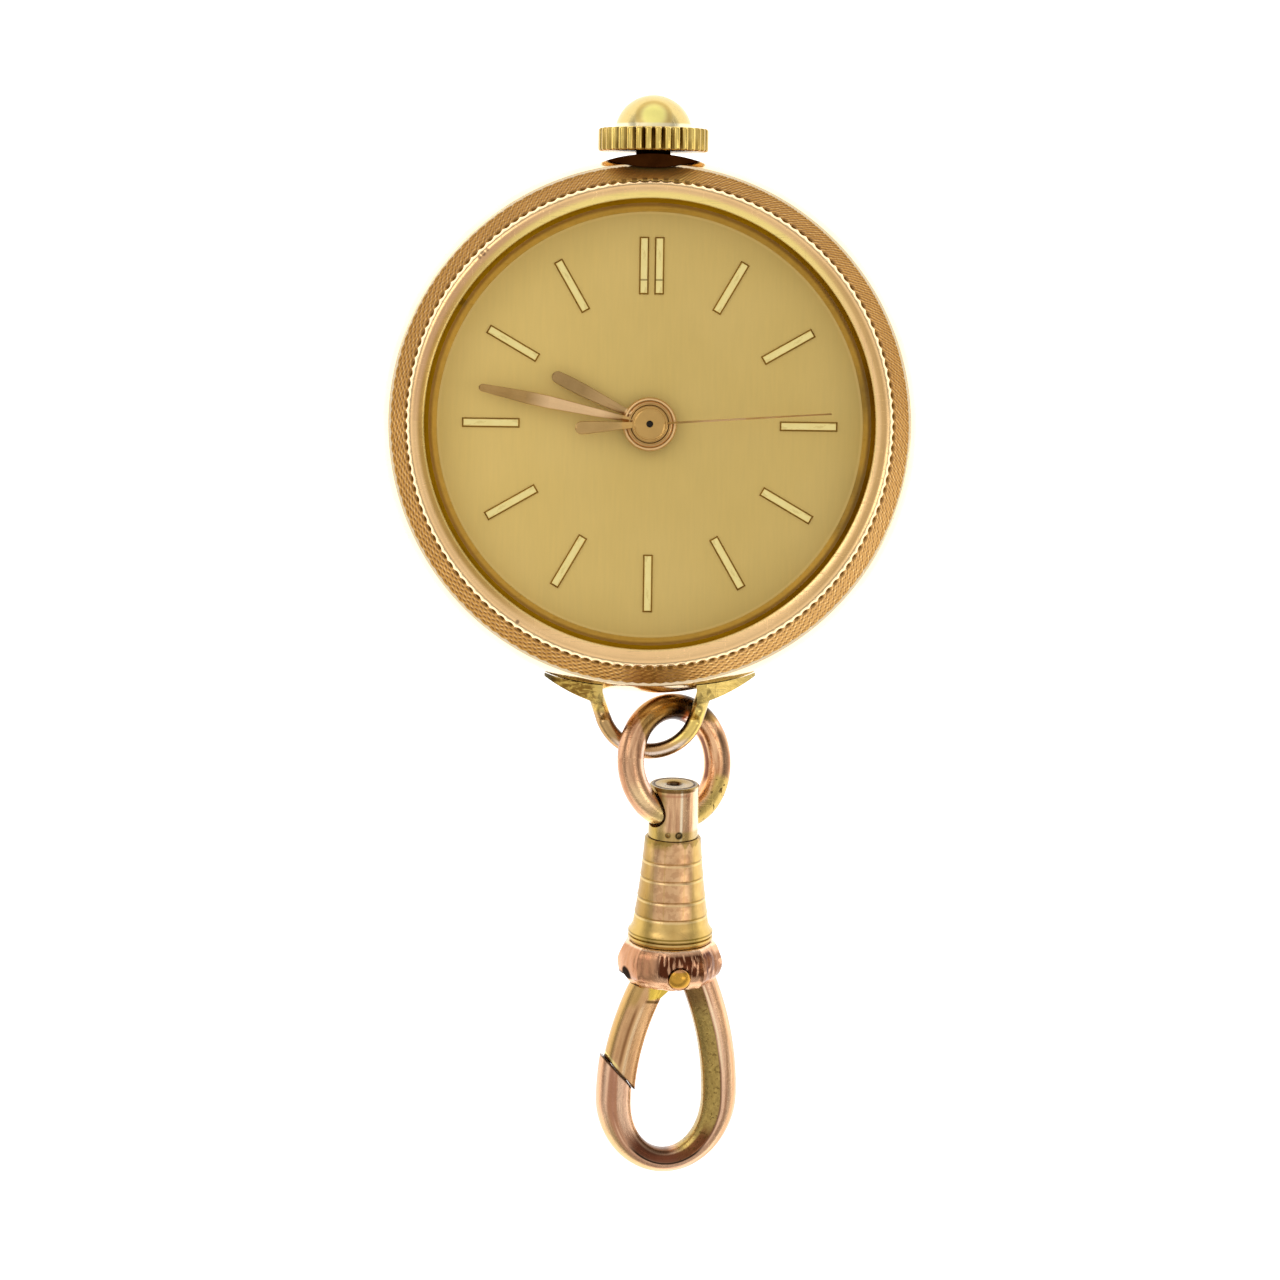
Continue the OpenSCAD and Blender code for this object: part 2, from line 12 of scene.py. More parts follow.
import bmesh
import bpy
from mathutils import Matrix, Vector, noise


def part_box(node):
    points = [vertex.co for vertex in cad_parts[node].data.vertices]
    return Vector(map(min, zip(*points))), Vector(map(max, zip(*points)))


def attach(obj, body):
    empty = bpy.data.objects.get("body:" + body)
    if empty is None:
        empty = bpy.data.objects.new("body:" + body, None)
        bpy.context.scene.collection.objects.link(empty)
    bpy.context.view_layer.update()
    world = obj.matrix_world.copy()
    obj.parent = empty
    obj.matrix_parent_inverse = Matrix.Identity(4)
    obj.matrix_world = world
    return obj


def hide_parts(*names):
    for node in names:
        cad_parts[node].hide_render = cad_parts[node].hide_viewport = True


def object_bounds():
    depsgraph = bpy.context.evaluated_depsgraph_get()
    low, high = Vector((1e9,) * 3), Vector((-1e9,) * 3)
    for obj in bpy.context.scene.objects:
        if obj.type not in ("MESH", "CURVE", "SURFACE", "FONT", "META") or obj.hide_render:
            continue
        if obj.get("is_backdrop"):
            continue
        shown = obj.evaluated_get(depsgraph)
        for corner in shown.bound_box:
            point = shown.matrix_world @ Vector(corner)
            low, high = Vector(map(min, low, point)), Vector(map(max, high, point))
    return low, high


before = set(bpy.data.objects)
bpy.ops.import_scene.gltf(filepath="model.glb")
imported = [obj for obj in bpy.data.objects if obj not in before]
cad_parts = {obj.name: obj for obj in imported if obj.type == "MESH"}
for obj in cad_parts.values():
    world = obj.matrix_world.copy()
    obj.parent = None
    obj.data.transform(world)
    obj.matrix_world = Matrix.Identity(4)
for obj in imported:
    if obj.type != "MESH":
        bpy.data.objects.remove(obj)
solid_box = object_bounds()
print("nodes:", len(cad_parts))

# %% [markdown]
# A watch is small, so metres give awkward numbers. Each piece is modelled in millimetres and is scaled to
# metres once, when it is finished. `span` reads a solid's box in millimetres, so that the sizes of the
# new pieces come from the solids and never drift away from them.

# %% Work in millimetres
MM = 0.001


def span(node):
    """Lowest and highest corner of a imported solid, in millimetres."""
    low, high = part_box(node)
    return low / MM, high / MM


band_box = span("case_band")
case_r = band_box[1].x
band_low = band_box[0].z
band_high = band_box[1].z
band_mid = (band_low + band_high) / 2
print(f"case radius {case_r:.2f}, band from {band_low:.2f} to {band_high:.2f}")

# %% [markdown]
# ## The table and the light
# The photograph is taken from straight above on a bright white ground, so bright that the polished side
# of the case, which mirrors the ground, burns out to white. A floor that glows a little above white does
# the same here, and it also hides the shadow. The view transform is plain, as a filmic one would turn
# the white to grey. Colours are written as the eye sees them, from 0 to 255, and `paint` changes them
# to the linear values that a shader needs.

# %% Colours as they are seen
def paint(red, green, blue):
    """A colour seen on a screen, as the linear colour that a shader takes."""

    def linear(level):
        part = level / 255
        return part / 12.92 if part <= 0.04045 else ((part + 0.055) / 1.055) ** 2.4

    return (linear(red), linear(green), linear(blue), 1.0)


print("dial colour, linear:", [round(part, 3) for part in paint(200, 172, 105)])

# %% [markdown]
# Shader maths is easier to read as sums than as rows of nodes. `Flow` wraps one socket, and each Python
# operator on it adds the Math node that does that sum. `Shade` owns the nodes of one material. Its
# `node` method adds any other node: its settings come first, then what goes into its sockets.

# %% A socket that Python can do sums with
class Flow:
    """One value that changes over a surface."""

    def __init__(self, shade, socket):
        self.shade = shade
        self.socket = socket

    def __add__(self, other):
        return self.shade.sum("ADD", self, other)

    def __sub__(self, other):
        return self.shade.sum("SUBTRACT", self, other)

    def __rsub__(self, other):
        return self.shade.sum("SUBTRACT", other, self)

    def __mul__(self, other):
        return self.shade.sum("MULTIPLY", self, other)

    def __pow__(self, other):
        return self.shade.sum("POWER", self, other)

    def __abs__(self):
        return self.shade.sum("ABSOLUTE", self, 0)

    __radd__ = __add__
    __rmul__ = __mul__


# %% The nodes of one material
class Shade:
    """One material, whose nodes are added by Python expressions."""

    def __init__(self, name):
        self.material = bpy.data.materials.new(name)
        self.material.use_nodes = True
        self.tree = self.material.node_tree
        self.tree.nodes.clear()

    def node(self, kind, settings=None, sockets=None, out=0):
        """Adds a node: settings first, then the values or links of its sockets."""
        made = self.tree.nodes.new("ShaderNode" + kind)
        for key, value in (settings or {}).items():
            setattr(made, key, value)
        for key, value in (sockets or {}).items():
            self.plug(made.inputs[key], value)
        return Flow(self, made.outputs[out]) if made.outputs else None

    def plug(self, socket, value):
        if isinstance(value, Flow):
            self.tree.links.new(value.socket, socket)
        else:
            socket.default_value = value

    def sum(self, operation, first, second):
        return self.node("Math", {"operation": operation}, {0: first, 1: second})


print("shader helpers ready")

# %% [markdown]
# A few named steps cover most finishes. `rise` is a soft step from 0 to 1, `between` is a soft band, and
# `mix` lays one colour over another through a mask. A finish is built up as a painter would do it: it
# starts with two mixed colours, and each `coat` adds a patch of wear, dirt or light through its own
# mask, until `surface` ends the material. Every piece carries an attribute named `own`: its
# coordinates in millimetres in the frame that it was modelled in, before it was laid in place. A groove
# round the barrel is then simply a value of z, whatever way the clip slopes in the end.

# %% Masks, mixes and grain
def is_seen(colour):
    """True for three levels from 0 to 255, as paint takes them."""
    return isinstance(colour, tuple) and len(colour) == 3


class Finish(Shade):
    """A material with the masks and textures that metal finishes use."""

    def __init__(self, name, from_attribute=True):
        super().__init__(name)
        self.colour = None
        if from_attribute:
            self.own = self.node("Attribute", {"attribute_name": "own"}, out="Vector")
        else:
            here = self.node("TexCoord", out="Object")
            self.own = self.node("VectorMath", {"operation": "SCALE"}, {0: here, "Scale": 1 / MM})
        self.x, self.y, self.z = (self.node("SeparateXYZ", sockets={0: self.own}, out=axis) for axis in "XYZ")

    def attribute(self, name):
        return self.node("Attribute", {"attribute_name": name}, out="Fac")

    def radius(self):
        return (self.x * self.x + self.y * self.y) ** 0.5

    def angle(self):
        """Degrees anticlockwise from the X axis, from -180 to 180."""
        return self.sum("ARCTAN2", self.y, self.x) * math.degrees(1)

    def rise(self, value, start, end):
        reach = {"Value": value, "From Min": start, "From Max": end}
        return self.node("MapRange", {"interpolation_type": "SMOOTHSTEP"}, reach)

    def between(self, value, low, high, soft):
        return self.rise(value, low - soft, low + soft) * (1 - self.rise(value, high - soft, high + soft))

    def spot(self, place, size, soft):
        """1 inside a ball of a size round a place, in the piece's own millimetres."""
        away = self.node("VectorMath", {"operation": "DISTANCE"}, {0: self.own, 1: place}, out="Value")
        return 1 - self.rise(away, size - soft, size + soft)

    def stretch(self, x, y, z):
        return self.node("VectorMath", {"operation": "MULTIPLY"}, {0: self.own, 1: (x, y, z)})

    def grain(self, size, detail=2, vector=None, twist=0.0):
        """Smooth noise from 0 to 1 whose features measure about size millimetres."""
        where = self.own if vector is None else vector
        sockets = {"Vector": where, "Scale": 1 / size, "Detail": detail, "Distortion": twist}
        return self.node("TexNoise", {"noise_dimensions": "3D"}, sockets)

    def mix(self, mask, under, over, blend="MIX"):
        """Lays one colour over another. A colour is a socket, four linear parts or three seen levels."""
        under, over = (paint(*part) if is_seen(part) else part for part in (under, over))
        settings = {"data_type": "RGBA", "blend_type": blend}
        return self.node("Mix", settings, {0: mask, 6: under, 7: over}, out=2)

    def coat(self, mask, colour):
        """Lays a colour over the coats that the surface already has."""
        self.colour = self.mix(mask, self.colour, colour)

    def dim(self, level):
        """Makes the surface darker or lighter by a number, 1 leaving it as it is."""
        grey = self.node("CombineXYZ", sockets={0: level, 1: level, 2: level})
        self.colour = self.mix(1.0, self.colour, grey, "MULTIPLY")

    def surface(self, rough, metal=1.0, height=None, edge=(1, 1, 1, 1)):
        """Ends the material with all its coats.

        Height is in millimetres and becomes a bump. Edge tints what the metal mirrors at a steep angle.
        """
        sockets = {"Base Color": self.colour, "Roughness": rough, "Metallic": metal, "Specular Tint": edge}
        if height is not None:
            sockets["Normal"] = self.node("Bump", sockets={"Strength": 1.0, "Distance": MM, "Height": height})
        body = self.node("BsdfPrincipled", sockets=sockets)
        self.node("OutputMaterial", sockets={"Surface": body})
        return self.material


print("finish helpers ready")

# %% [markdown]
# Gold that has been worn for decades is never even: it has hairline scratches, soft smudges and a fine
# grain. `worn` adds all three to any finish and ends it, so each one only has to say what is its own.

# %% The wear that every gold surface shares
def worn(finish, rough, scratches=1.0, smudges=1.0, relief=0.0, extra_height=None):
    """Lays smudges, scratches and grain over the coats and ends the material."""
    smudge = finish.grain(1.7, 4)
    fine = finish.grain(0.16, 3)
    hair = finish.grain(0.5, 2, finish.stretch(0.35, 9, 0.35), 0.4)
    cross = finish.grain(0.5, 2, finish.stretch(8, 0.4, 2.5), 0.4)
    marks = finish.rise(hair, 0.62, 0.7) + finish.rise(cross, 0.64, 0.72)
    level = 1 + (smudge - 0.5) * (0.3 * smudges) + (fine - 0.5) * (0.14 * smudges)
    finish.dim(level - marks * (0.05 * scratches))
    roughness = rough + (smudge - 0.5) * 0.16 + marks * (0.08 * scratches)
    height = (fine - 0.5) * (0.004 + relief) - marks * (0.0025 * scratches)
    if extra_height is not None:
        height = height + extra_height
    return finish.surface(roughness, 1.0, height)


print("wear ready")

# %% [markdown]
# Each mesh is finished in the same way. Its own coordinates are kept in the `own` attribute, it is laid in
# its place, scaled to metres, shaded smooth with its sharp edges kept, and tied to the body that it moves
# with, and the solid that it stands for is hidden.

# %% Finish a mesh
WELD = 0.0004


def settle(name, bm, body, material, nodes, place=None, sharp=32):
    """Turns a bmesh in millimetres into a piece of the watch."""
    bmesh.ops.remove_doubles(bm, verts=bm.verts, dist=WELD)
    bmesh.ops.recalc_face_normals(bm, faces=bm.faces)
    own = bm.verts.layers.float_vector.new("own")
    for vert in bm.verts:
        vert[own] = vert.co
    if place is not None:
        bmesh.ops.transform(bm, matrix=place, verts=bm.verts)
    bmesh.ops.scale(bm, vec=(MM, MM, MM), verts=bm.verts)
    mesh = bpy.data.meshes.new(name)
    bm.to_mesh(mesh)
    bm.free()
    mesh.shade_smooth()
    mesh.set_sharp_from_angle(angle=math.radians(sharp))
    mesh.materials.append(material)
    piece = bpy.data.objects.new(name, mesh)
    bpy.context.scene.collection.objects.link(piece)
    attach(piece, body)
    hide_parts(*nodes)
    print(f"{name}: {len(mesh.vertices)} points, {len(mesh.polygons)} faces, rides on {body}")


# %% [markdown]
# Most of the watch is turned on a lathe, and so is its mesh. A profile is a closed line in the plane of
# the radius and the height, and a spin round the Z axis turns it into a solid. The corners of turned
# metal are never knife sharp, so `ease` bevels the edges that are sharper than a given angle.

# %% Turn a profile
def arc(centre, radius, start, end, count):
    """Points on an arc, with angles in degrees."""
    angles = [math.radians(start + (end - start) * i / count) for i in range(count + 1)]
    return [(centre[0] + radius * math.cos(a), centre[1] + radius * math.sin(a)) for a in angles]


def turned(profile, steps=256, open_ends=False, sectors=1):
    """Spins a profile of (radius, height) points round the Z axis.

    A ring with thousands of steps is quicker when one sector is spun and then copied round.
    """
    bm = bmesh.new()
    verts = [bm.verts.new((radius, 0, height)) for radius, height in profile]
    pairs = list(zip(verts, verts[1:]))
    if not open_ends:
        pairs.append((verts[-1], verts[0]))
    for first, second in pairs:
        bm.edges.new((first, second))
    spin = {"cent": (0, 0, 0), "axis": (0, 0, 1), "use_normal_flip": False}
    whole = sectors == 1
    line = bm.verts[:] + bm.edges[:]
    sector = math.tau / sectors
    bmesh.ops.spin(bm, geom=line, angle=sector, steps=steps // sectors, use_merge=whole, **spin)
    if not whole:
        rest = math.tau * (sectors - 1) / sectors
        every = bm.verts[:] + bm.edges[:] + bm.faces[:]
        bmesh.ops.spin(bm, geom=every, angle=rest, steps=sectors - 1, use_duplicate=True, **spin)
    bmesh.ops.remove_doubles(bm, verts=bm.verts, dist=WELD)
    bmesh.ops.recalc_face_normals(bm, faces=bm.faces)
    return bm


def round_axis(vert):
    """A point's way outward from the Z axis, its distance from it and its turn round it."""
    flat = Vector((vert.co.x, vert.co.y, 0))
    return flat.normalized(), flat.length, math.atan2(vert.co.y, vert.co.x)


def ease(bm, width, degrees=40, segments=2):
    """Bevels every edge whose faces meet at more than some degrees."""
    limit = math.radians(degrees)
    edges = [edge for edge in bm.edges if len(edge.link_faces) == 2 and edge.calc_face_angle() > limit]
    shape = {"segments": segments, "profile": 0.5, "affect": "EDGES", "material": -1}
    bmesh.ops.bevel(bm, geom=edges, offset=width, clamp_overlap=True, **shape)
    return bm


# %% [markdown]
# Cutting and joining solids is done with Blender's exact Boolean. It works on objects, so the two meshes
# are put in objects for a moment and the result is read back as one mesh.

# %% Cut and join
def combine(bm, tool, operation):
    """Cuts one bmesh with another, or joins them, and gives the result."""
    made = []
    for part in (bm, tool):
        mesh = bpy.data.meshes.new("combine")
        part.to_mesh(mesh)
        part.free()
        made.append(bpy.data.objects.new("combine", mesh))
        bpy.context.scene.collection.objects.link(made[-1])
    cut = made[0].modifiers.new("cut", "BOOLEAN")
    cut.operation = operation
    cut.solver = "EXACT"
    cut.object = made[1]
    bpy.context.view_layer.update()
    shape = made[0].evaluated_get(bpy.context.evaluated_depsgraph_get())
    result = bmesh.new()
    result.from_mesh(shape.to_mesh())
    shape.to_mesh_clear()
    for part in made:
        mesh = part.data
        bpy.data.objects.remove(part)
        bpy.data.meshes.remove(mesh)
    return result


def rod(radius, length, middle=(0, 0, 0), axis="Z", segments=48):
    """A plain round rod, for cutting holes."""
    bm = bmesh.new()
    bmesh.ops.create_cone(
        bm, cap_ends=True, segments=segments, radius1=radius, radius2=radius, depth=length, calc_uvs=False
    )
    if axis != "Z":
        turn = Matrix.Rotation(math.radians(90), 4, "Y" if axis == "X" else "X")
        bmesh.ops.transform(bm, matrix=turn, verts=bm.verts)
    bmesh.ops.translate(bm, vec=middle, verts=bm.verts)
    return bm


def block(low, high):
    """A plain box between two corners, for cutting slots."""
    low = Vector(low)
    high = Vector(high)
    bm = bmesh.new()
    bmesh.ops.create_cube(bm, size=1)
    bmesh.ops.scale(bm, vec=high - low, verts=bm.verts)
    bmesh.ops.translate(bm, vec=(low + high) / 2, verts=bm.verts)
    return bm


def plate(outline, half):
    """A flat plate with an outline of (x, z) points and its thickness along Y."""
    bm = bmesh.new()
    face = bm.faces.new([bm.verts.new((x, -half, z)) for x, z in outline])
    grown = bmesh.ops.extrude_face_region(bm, geom=[face])["geom"]
    tips = [item for item in grown if isinstance(item, bmesh.types.BMVert)]
    bmesh.ops.translate(bm, vec=(0, 2 * half, 0), verts=tips)
    bmesh.ops.recalc_face_normals(bm, faces=bm.faces)
    return bm


# %% [markdown]
# The hook, the gate and the hands are drawn shapes: one section that is carried along a path and grows
# or shrinks on the way. The first section is a face, and each step extrudes it and moves the new end by
# the matrix from one station to the next. Three attributes go along: `along`, how far down the path,
# and `across` and `upward`, where in the section.

# %% Draw a section along stations
def drawn(section, stations, lengths):
    """Extrudes a closed section through station matrices. Lengths gives `along` at each station."""
    bm = bmesh.new()
    along = bm.verts.layers.float.new("along")
    across = bm.verts.layers.float.new("across")
    upward = bm.verts.layers.float.new("upward")
    verts = []
    for x, y in section:
        vert = bm.verts.new((x, y, 0))
        vert[across] = x
        vert[upward] = y
        vert[along] = lengths[0]
        verts.append(vert)
    end = bm.faces.new(verts)
    bmesh.ops.transform(bm, matrix=stations[0], verts=verts)
    for before, after, length in zip(stations, stations[1:], lengths[1:]):
        grown = bmesh.ops.extrude_face_region(bm, geom=[end])["geom"]
        end = next(item for item in grown if isinstance(item, bmesh.types.BMFace))
        tips = [item for item in grown if isinstance(item, bmesh.types.BMVert)]
        bmesh.ops.transform(bm, matrix=after @ before.inverted(), verts=tips)
        for vert in tips:
            vert[along] = length
    bmesh.ops.recalc_face_normals(bm, faces=bm.faces)
    return bm


def station(at, sideways, upwards, half_w, half_t):
    """A matrix that puts the unit section at a place, with its own half width and half thickness."""
    forward = sideways.cross(upwards)
    grid = Matrix((sideways * half_w, upwards * half_t, forward)).transposed().to_4x4()
    return Matrix.Translation(at) @ grid


print("modelling helpers ready")

# %% [markdown]
# ## Camera, floor and light
# A long lens from straight above shows almost no perspective, as in the photograph. The watch is turned
# three quarters of a degree there, so the camera turns by that much the other way.

# %% Camera
SENSOR = 36.0
LENS = 336.8
VIEW_W = 66.8
VIEW_MIDDLE = (-0.36, -11.23)
VIEW_TURN = 0.75

eye_height = VIEW_W / SENSOR * LENS + band_mid
camera_data = bpy.data.cameras.new("camera")
camera_data.lens = LENS
camera_data.sensor_width = SENSOR
camera_data.clip_start = 0.01
camera_data.clip_end = 20
camera = bpy.data.objects.new("camera", camera_data)
camera.location = (VIEW_MIDDLE[0] * MM, VIEW_MIDDLE[1] * MM, eye_height * MM)
camera.rotation_euler = (0, 0, math.radians(VIEW_TURN))
bpy.context.scene.collection.objects.link(camera)
bpy.context.scene.camera = camera
print(f"camera {eye_height:.0f} mm above the table")

# %% Floor
FLOOR_HALF = 3.0
FLOOR_GLOW = 1.35

floor_shade = Finish("floor_white", from_attribute=False)
floor_grain = floor_shade.grain(6, 2)
floor_colour = floor_shade.mix(floor_grain, (0.3, 0.3, 0.3, 1), (0.34, 0.34, 0.34, 1))
floor_body = floor_shade.node(
    "BsdfPrincipled",
    sockets={
        "Base Color": floor_colour,
        "Roughness": 0.8,
        "Specular IOR Level": 0.0,
        "Emission Color": (1.0, 1.0, 1.0, 1.0),
        "Emission Strength": FLOOR_GLOW,
    },
)
floor_shade.node("OutputMaterial", sockets={"Surface": floor_body})
floor_bm = bmesh.new()
bmesh.ops.create_grid(floor_bm, x_segments=1, y_segments=1, size=FLOOR_HALF)
floor_mesh = bpy.data.meshes.new("floor")
floor_bm.to_mesh(floor_mesh)
floor_bm.free()
floor_shade.material.cycles.emission_sampling = "NONE"
floor_mesh.materials.append(floor_shade.material)
floor = bpy.data.objects.new("floor", floor_mesh)
bpy.context.scene.collection.objects.link(floor)
floor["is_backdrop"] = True
print(f"floor {2 * FLOOR_HALF:.0f} m wide")

# %% [markdown]
# Polished metal is a mirror, so it looks like what is round it. The sky here is a soft studio: a little
# darker straight overhead, where the lens is, pale in the middle, with a darker band low down that
# draws the long dark streaks in the wires. Two soft boxes add the broad highlights.

# %% Sky and soft boxes
sky = bpy.data.worlds.new("studio")
bpy.context.scene.world = sky
sky.use_nodes = True
sky_nodes = sky.node_tree.nodes
sky_links = sky.node_tree.links
sky_where = sky_nodes.new("ShaderNodeTexCoord")
sky_parts = sky_nodes.new("ShaderNodeSeparateXYZ")
sky_ramp = sky_nodes.new("ShaderNodeValToRGB")
SKY_LEVELS = [(0.0, 0.95), (0.08, 0.9), (0.3, 0.42), (0.5, 0.5), (0.66, 1.0), (0.86, 0.9), (1.0, 0.74)]
while len(sky_ramp.color_ramp.elements) < len(SKY_LEVELS):
    sky_ramp.color_ramp.elements.new(1)
for element, (height, level) in zip(sky_ramp.color_ramp.elements, SKY_LEVELS):
    element.position = height
    element.color = (level, level, level, 1)
sky_links.new(sky_where.outputs["Generated"], sky_parts.inputs[0])
sky_links.new(sky_parts.outputs["Z"], sky_ramp.inputs[0])
sky_links.new(sky_ramp.outputs["Color"], sky_nodes["Background"].inputs["Color"])
bpy.context.scene.view_settings.view_transform = "Standard"
bpy.context.scene.view_settings.look = "None"


def soft_box(name, at, size, power):
    """A square soft light that looks at the watch."""
    data = bpy.data.lights.new(name, "AREA")
    data.shape = "RECTANGLE"
    data.size = size[0]
    data.size_y = size[1]
    data.energy = power
    lamp = bpy.data.objects.new(name, data)
    lamp.location = at
    aim = Vector((0, -0.012, 0.006)) - Vector(at)
    lamp.rotation_euler = aim.to_track_quat("-Z", "Y").to_euler()
    bpy.context.scene.collection.objects.link(lamp)


soft_box("box_left", (-0.34, 0.26, 0.42), (0.26, 0.3), 0.3)
soft_box("box_right", (0.42, -0.1, 0.36), (0.16, 0.34), 0.2)
print("studio lit")

# %% [markdown]
# ## The case
# The band is the widest part of the watch. It is turned from one piece: outside it bows out like a
# shallow barrel, and inside it steps down to the ledges that hold the dial and the movement. It is
# rubbed so bright that the photograph shows it almost white.

# %% Case band
BAND_BOW = 0.4
STEP_TOP_R = 12.33
STEP_DIAL_R = 11.95
STEP_LEDGE_R = 11.2
DIAL_DROP = 0.65
LEDGE_RISE = 0.7
STEM_HOLE_R = 0.45

band_half = (band_high - band_low) / 2
bow_r = (band_half**2 + BAND_BOW**2) / (2 * BAND_BOW)
bow_reach = math.degrees(math.asin(band_half / bow_r))
dial_top = band_high - DIAL_DROP
ledge = band_low + LEDGE_RISE
band_profile = arc((case_r - bow_r, band_mid), bow_r, -bow_reach, bow_reach, 20) + [
    (STEP_TOP_R, band_high),
    (STEP_TOP_R, dial_top),
    (STEP_DIAL_R, dial_top),
    (STEP_DIAL_R, ledge),
    (STEP_LEDGE_R, ledge),
    (STEP_LEDGE_R, band_low),
]
band_bm = ease(turned(band_profile), 0.05)
band_bm = combine(band_bm, rod(STEM_HOLE_R, 6, (0, case_r - 1, band_mid), "Y"), "DIFFERENCE")


def band_gold():
    finish = Finish("band_gold")
    cloud = finish.grain(3.5, 3)
    finish.colour = finish.mix(cloud, (252, 224, 176), (255, 232, 198))
    low_edge = finish.rise(finish.z, band_low + 0.5, band_low)
    finish.coat(low_edge * 0.7, (196, 150, 84))
    return worn(finish, 0.16, scratches=0.8, smudges=0.5)


settle("band_polished", band_bm, "watch", band_gold(), ["case_band"])

# %% [markdown]
# The back can't be seen in the photograph. Watches like this have a plain polished dome pressed onto the
# band, with a short rim. It is where the watch is always laid down, so its middle has the most scratches.

# %% Back
BACK_WALL = 0.7
BACK_RIM_H = 0.3
BACK_RIM_W = 1.1
back_high = span("back")[1]
back_r = back_high.x
rim_low = back_high.z - BACK_RIM_H
ball = (back_r**2 + rim_low**2) / (2 * rim_low)
edge_turn = math.degrees(math.asin(back_r / ball))
inner_ball = ball - BACK_WALL
inner_r = back_r - BACK_RIM_W
inner_turn = math.degrees(math.asin(inner_r / inner_ball))
back_profile = arc((0, ball), ball, -90, -90 + edge_turn, 40)
back_profile += [(back_r, back_high.z), (inner_r, back_high.z)]
back_profile += arc((0, ball), inner_ball, -90 + inner_turn, -90, 30)
back_bm = ease(turned(back_profile, open_ends=True), 0.05, degrees=30)


def back_gold():
    finish = Finish("back_gold")
    cloud = finish.grain(4, 3)
    finish.colour = finish.mix(cloud, (226, 184, 122), (244, 208, 152))
    rubbed = 1 - finish.rise(finish.radius(), 2, 9)
    scuffs = finish.rise(finish.grain(0.8, 4, finish.stretch(1, 3.5, 1), 1.2), 0.5, 0.62) * rubbed
    finish.coat(scuffs * 0.4, (206, 172, 130))
    return worn(finish, 0.2, scratches=1.6)


settle("back_dome", back_bm, "watch", back_gold(), ["back"])

# %% [markdown]
# Between the band and the bezel is a sloping ring cut on a rose engine, a lathe that rocks as it turns
# and leaves hundreds of fine slanting cuts. They are real grooves, so they are modelled: the ring is
# spun in many steps and each point is moved in or out by a wave that slants up the slope. Towards the
# lower left the slanting cuts change to a short woven grain. The shader knows the same wave, through the
# attribute `cut`, and darkens its valleys where grime sits.

# %% Engine-turned ring
SECTORS = 29
CUTS = 15 * SECTORS
CUT_STEPS = 6
CUT_ROWS = 20
CUT_DEPTH = 0.04
CUT_SLANT = 4.8
LOBES = 5 * SECTORS
GRAIN_ROWS = 4.5
GRAIN_AT = math.radians(-135)
SLOPE_INSET = 0.1
SLOPE_TOP_R = 12.7
SLOPE_IN_R = 12.31

ring_low, ring_high = span("knurled_ring")
slope_foot = ring_high.x - SLOPE_INSET
slope_rise = ring_high.z - ring_low.z
slope_line = [
    (slope_foot + (SLOPE_TOP_R - slope_foot) * i / CUT_ROWS, ring_low.z + slope_rise * i / CUT_ROWS)
    for i in range(CUT_ROWS + 1)
]
ring_profile = [(SLOPE_IN_R, ring_low.z)] + slope_line + [(SLOPE_IN_R, ring_high.z)]
ring_bm = turned(ring_profile, steps=CUTS * CUT_STEPS, sectors=SECTORS)
cut_layer = ring_bm.verts.layers.float.new("cut")
for vert in ring_bm.verts:
    climb = (vert.co.z - ring_low.z) / slope_rise
    outward, away, turn = round_axis(vert)
    if away < SLOPE_TOP_R - 0.1:
        continue
    sway = 0.7 * math.sin(LOBES * turn)
    line = math.cos(CUTS * turn - CUT_SLANT * math.tau * climb + sway)
    grain = math.cos(LOBES * turn + 0.9 * math.tau * climb) * math.cos(GRAIN_ROWS * math.tau * climb + sway)
    share = 0.25 + 0.75 * (0.5 + 0.5 * math.cos(turn - GRAIN_AT))
    groove = 0.5 - 0.5 * (line * (1 - share) + grain * 1.3 * share)
    vert[cut_layer] = groove
    vert.co -= outward * CUT_DEPTH * groove


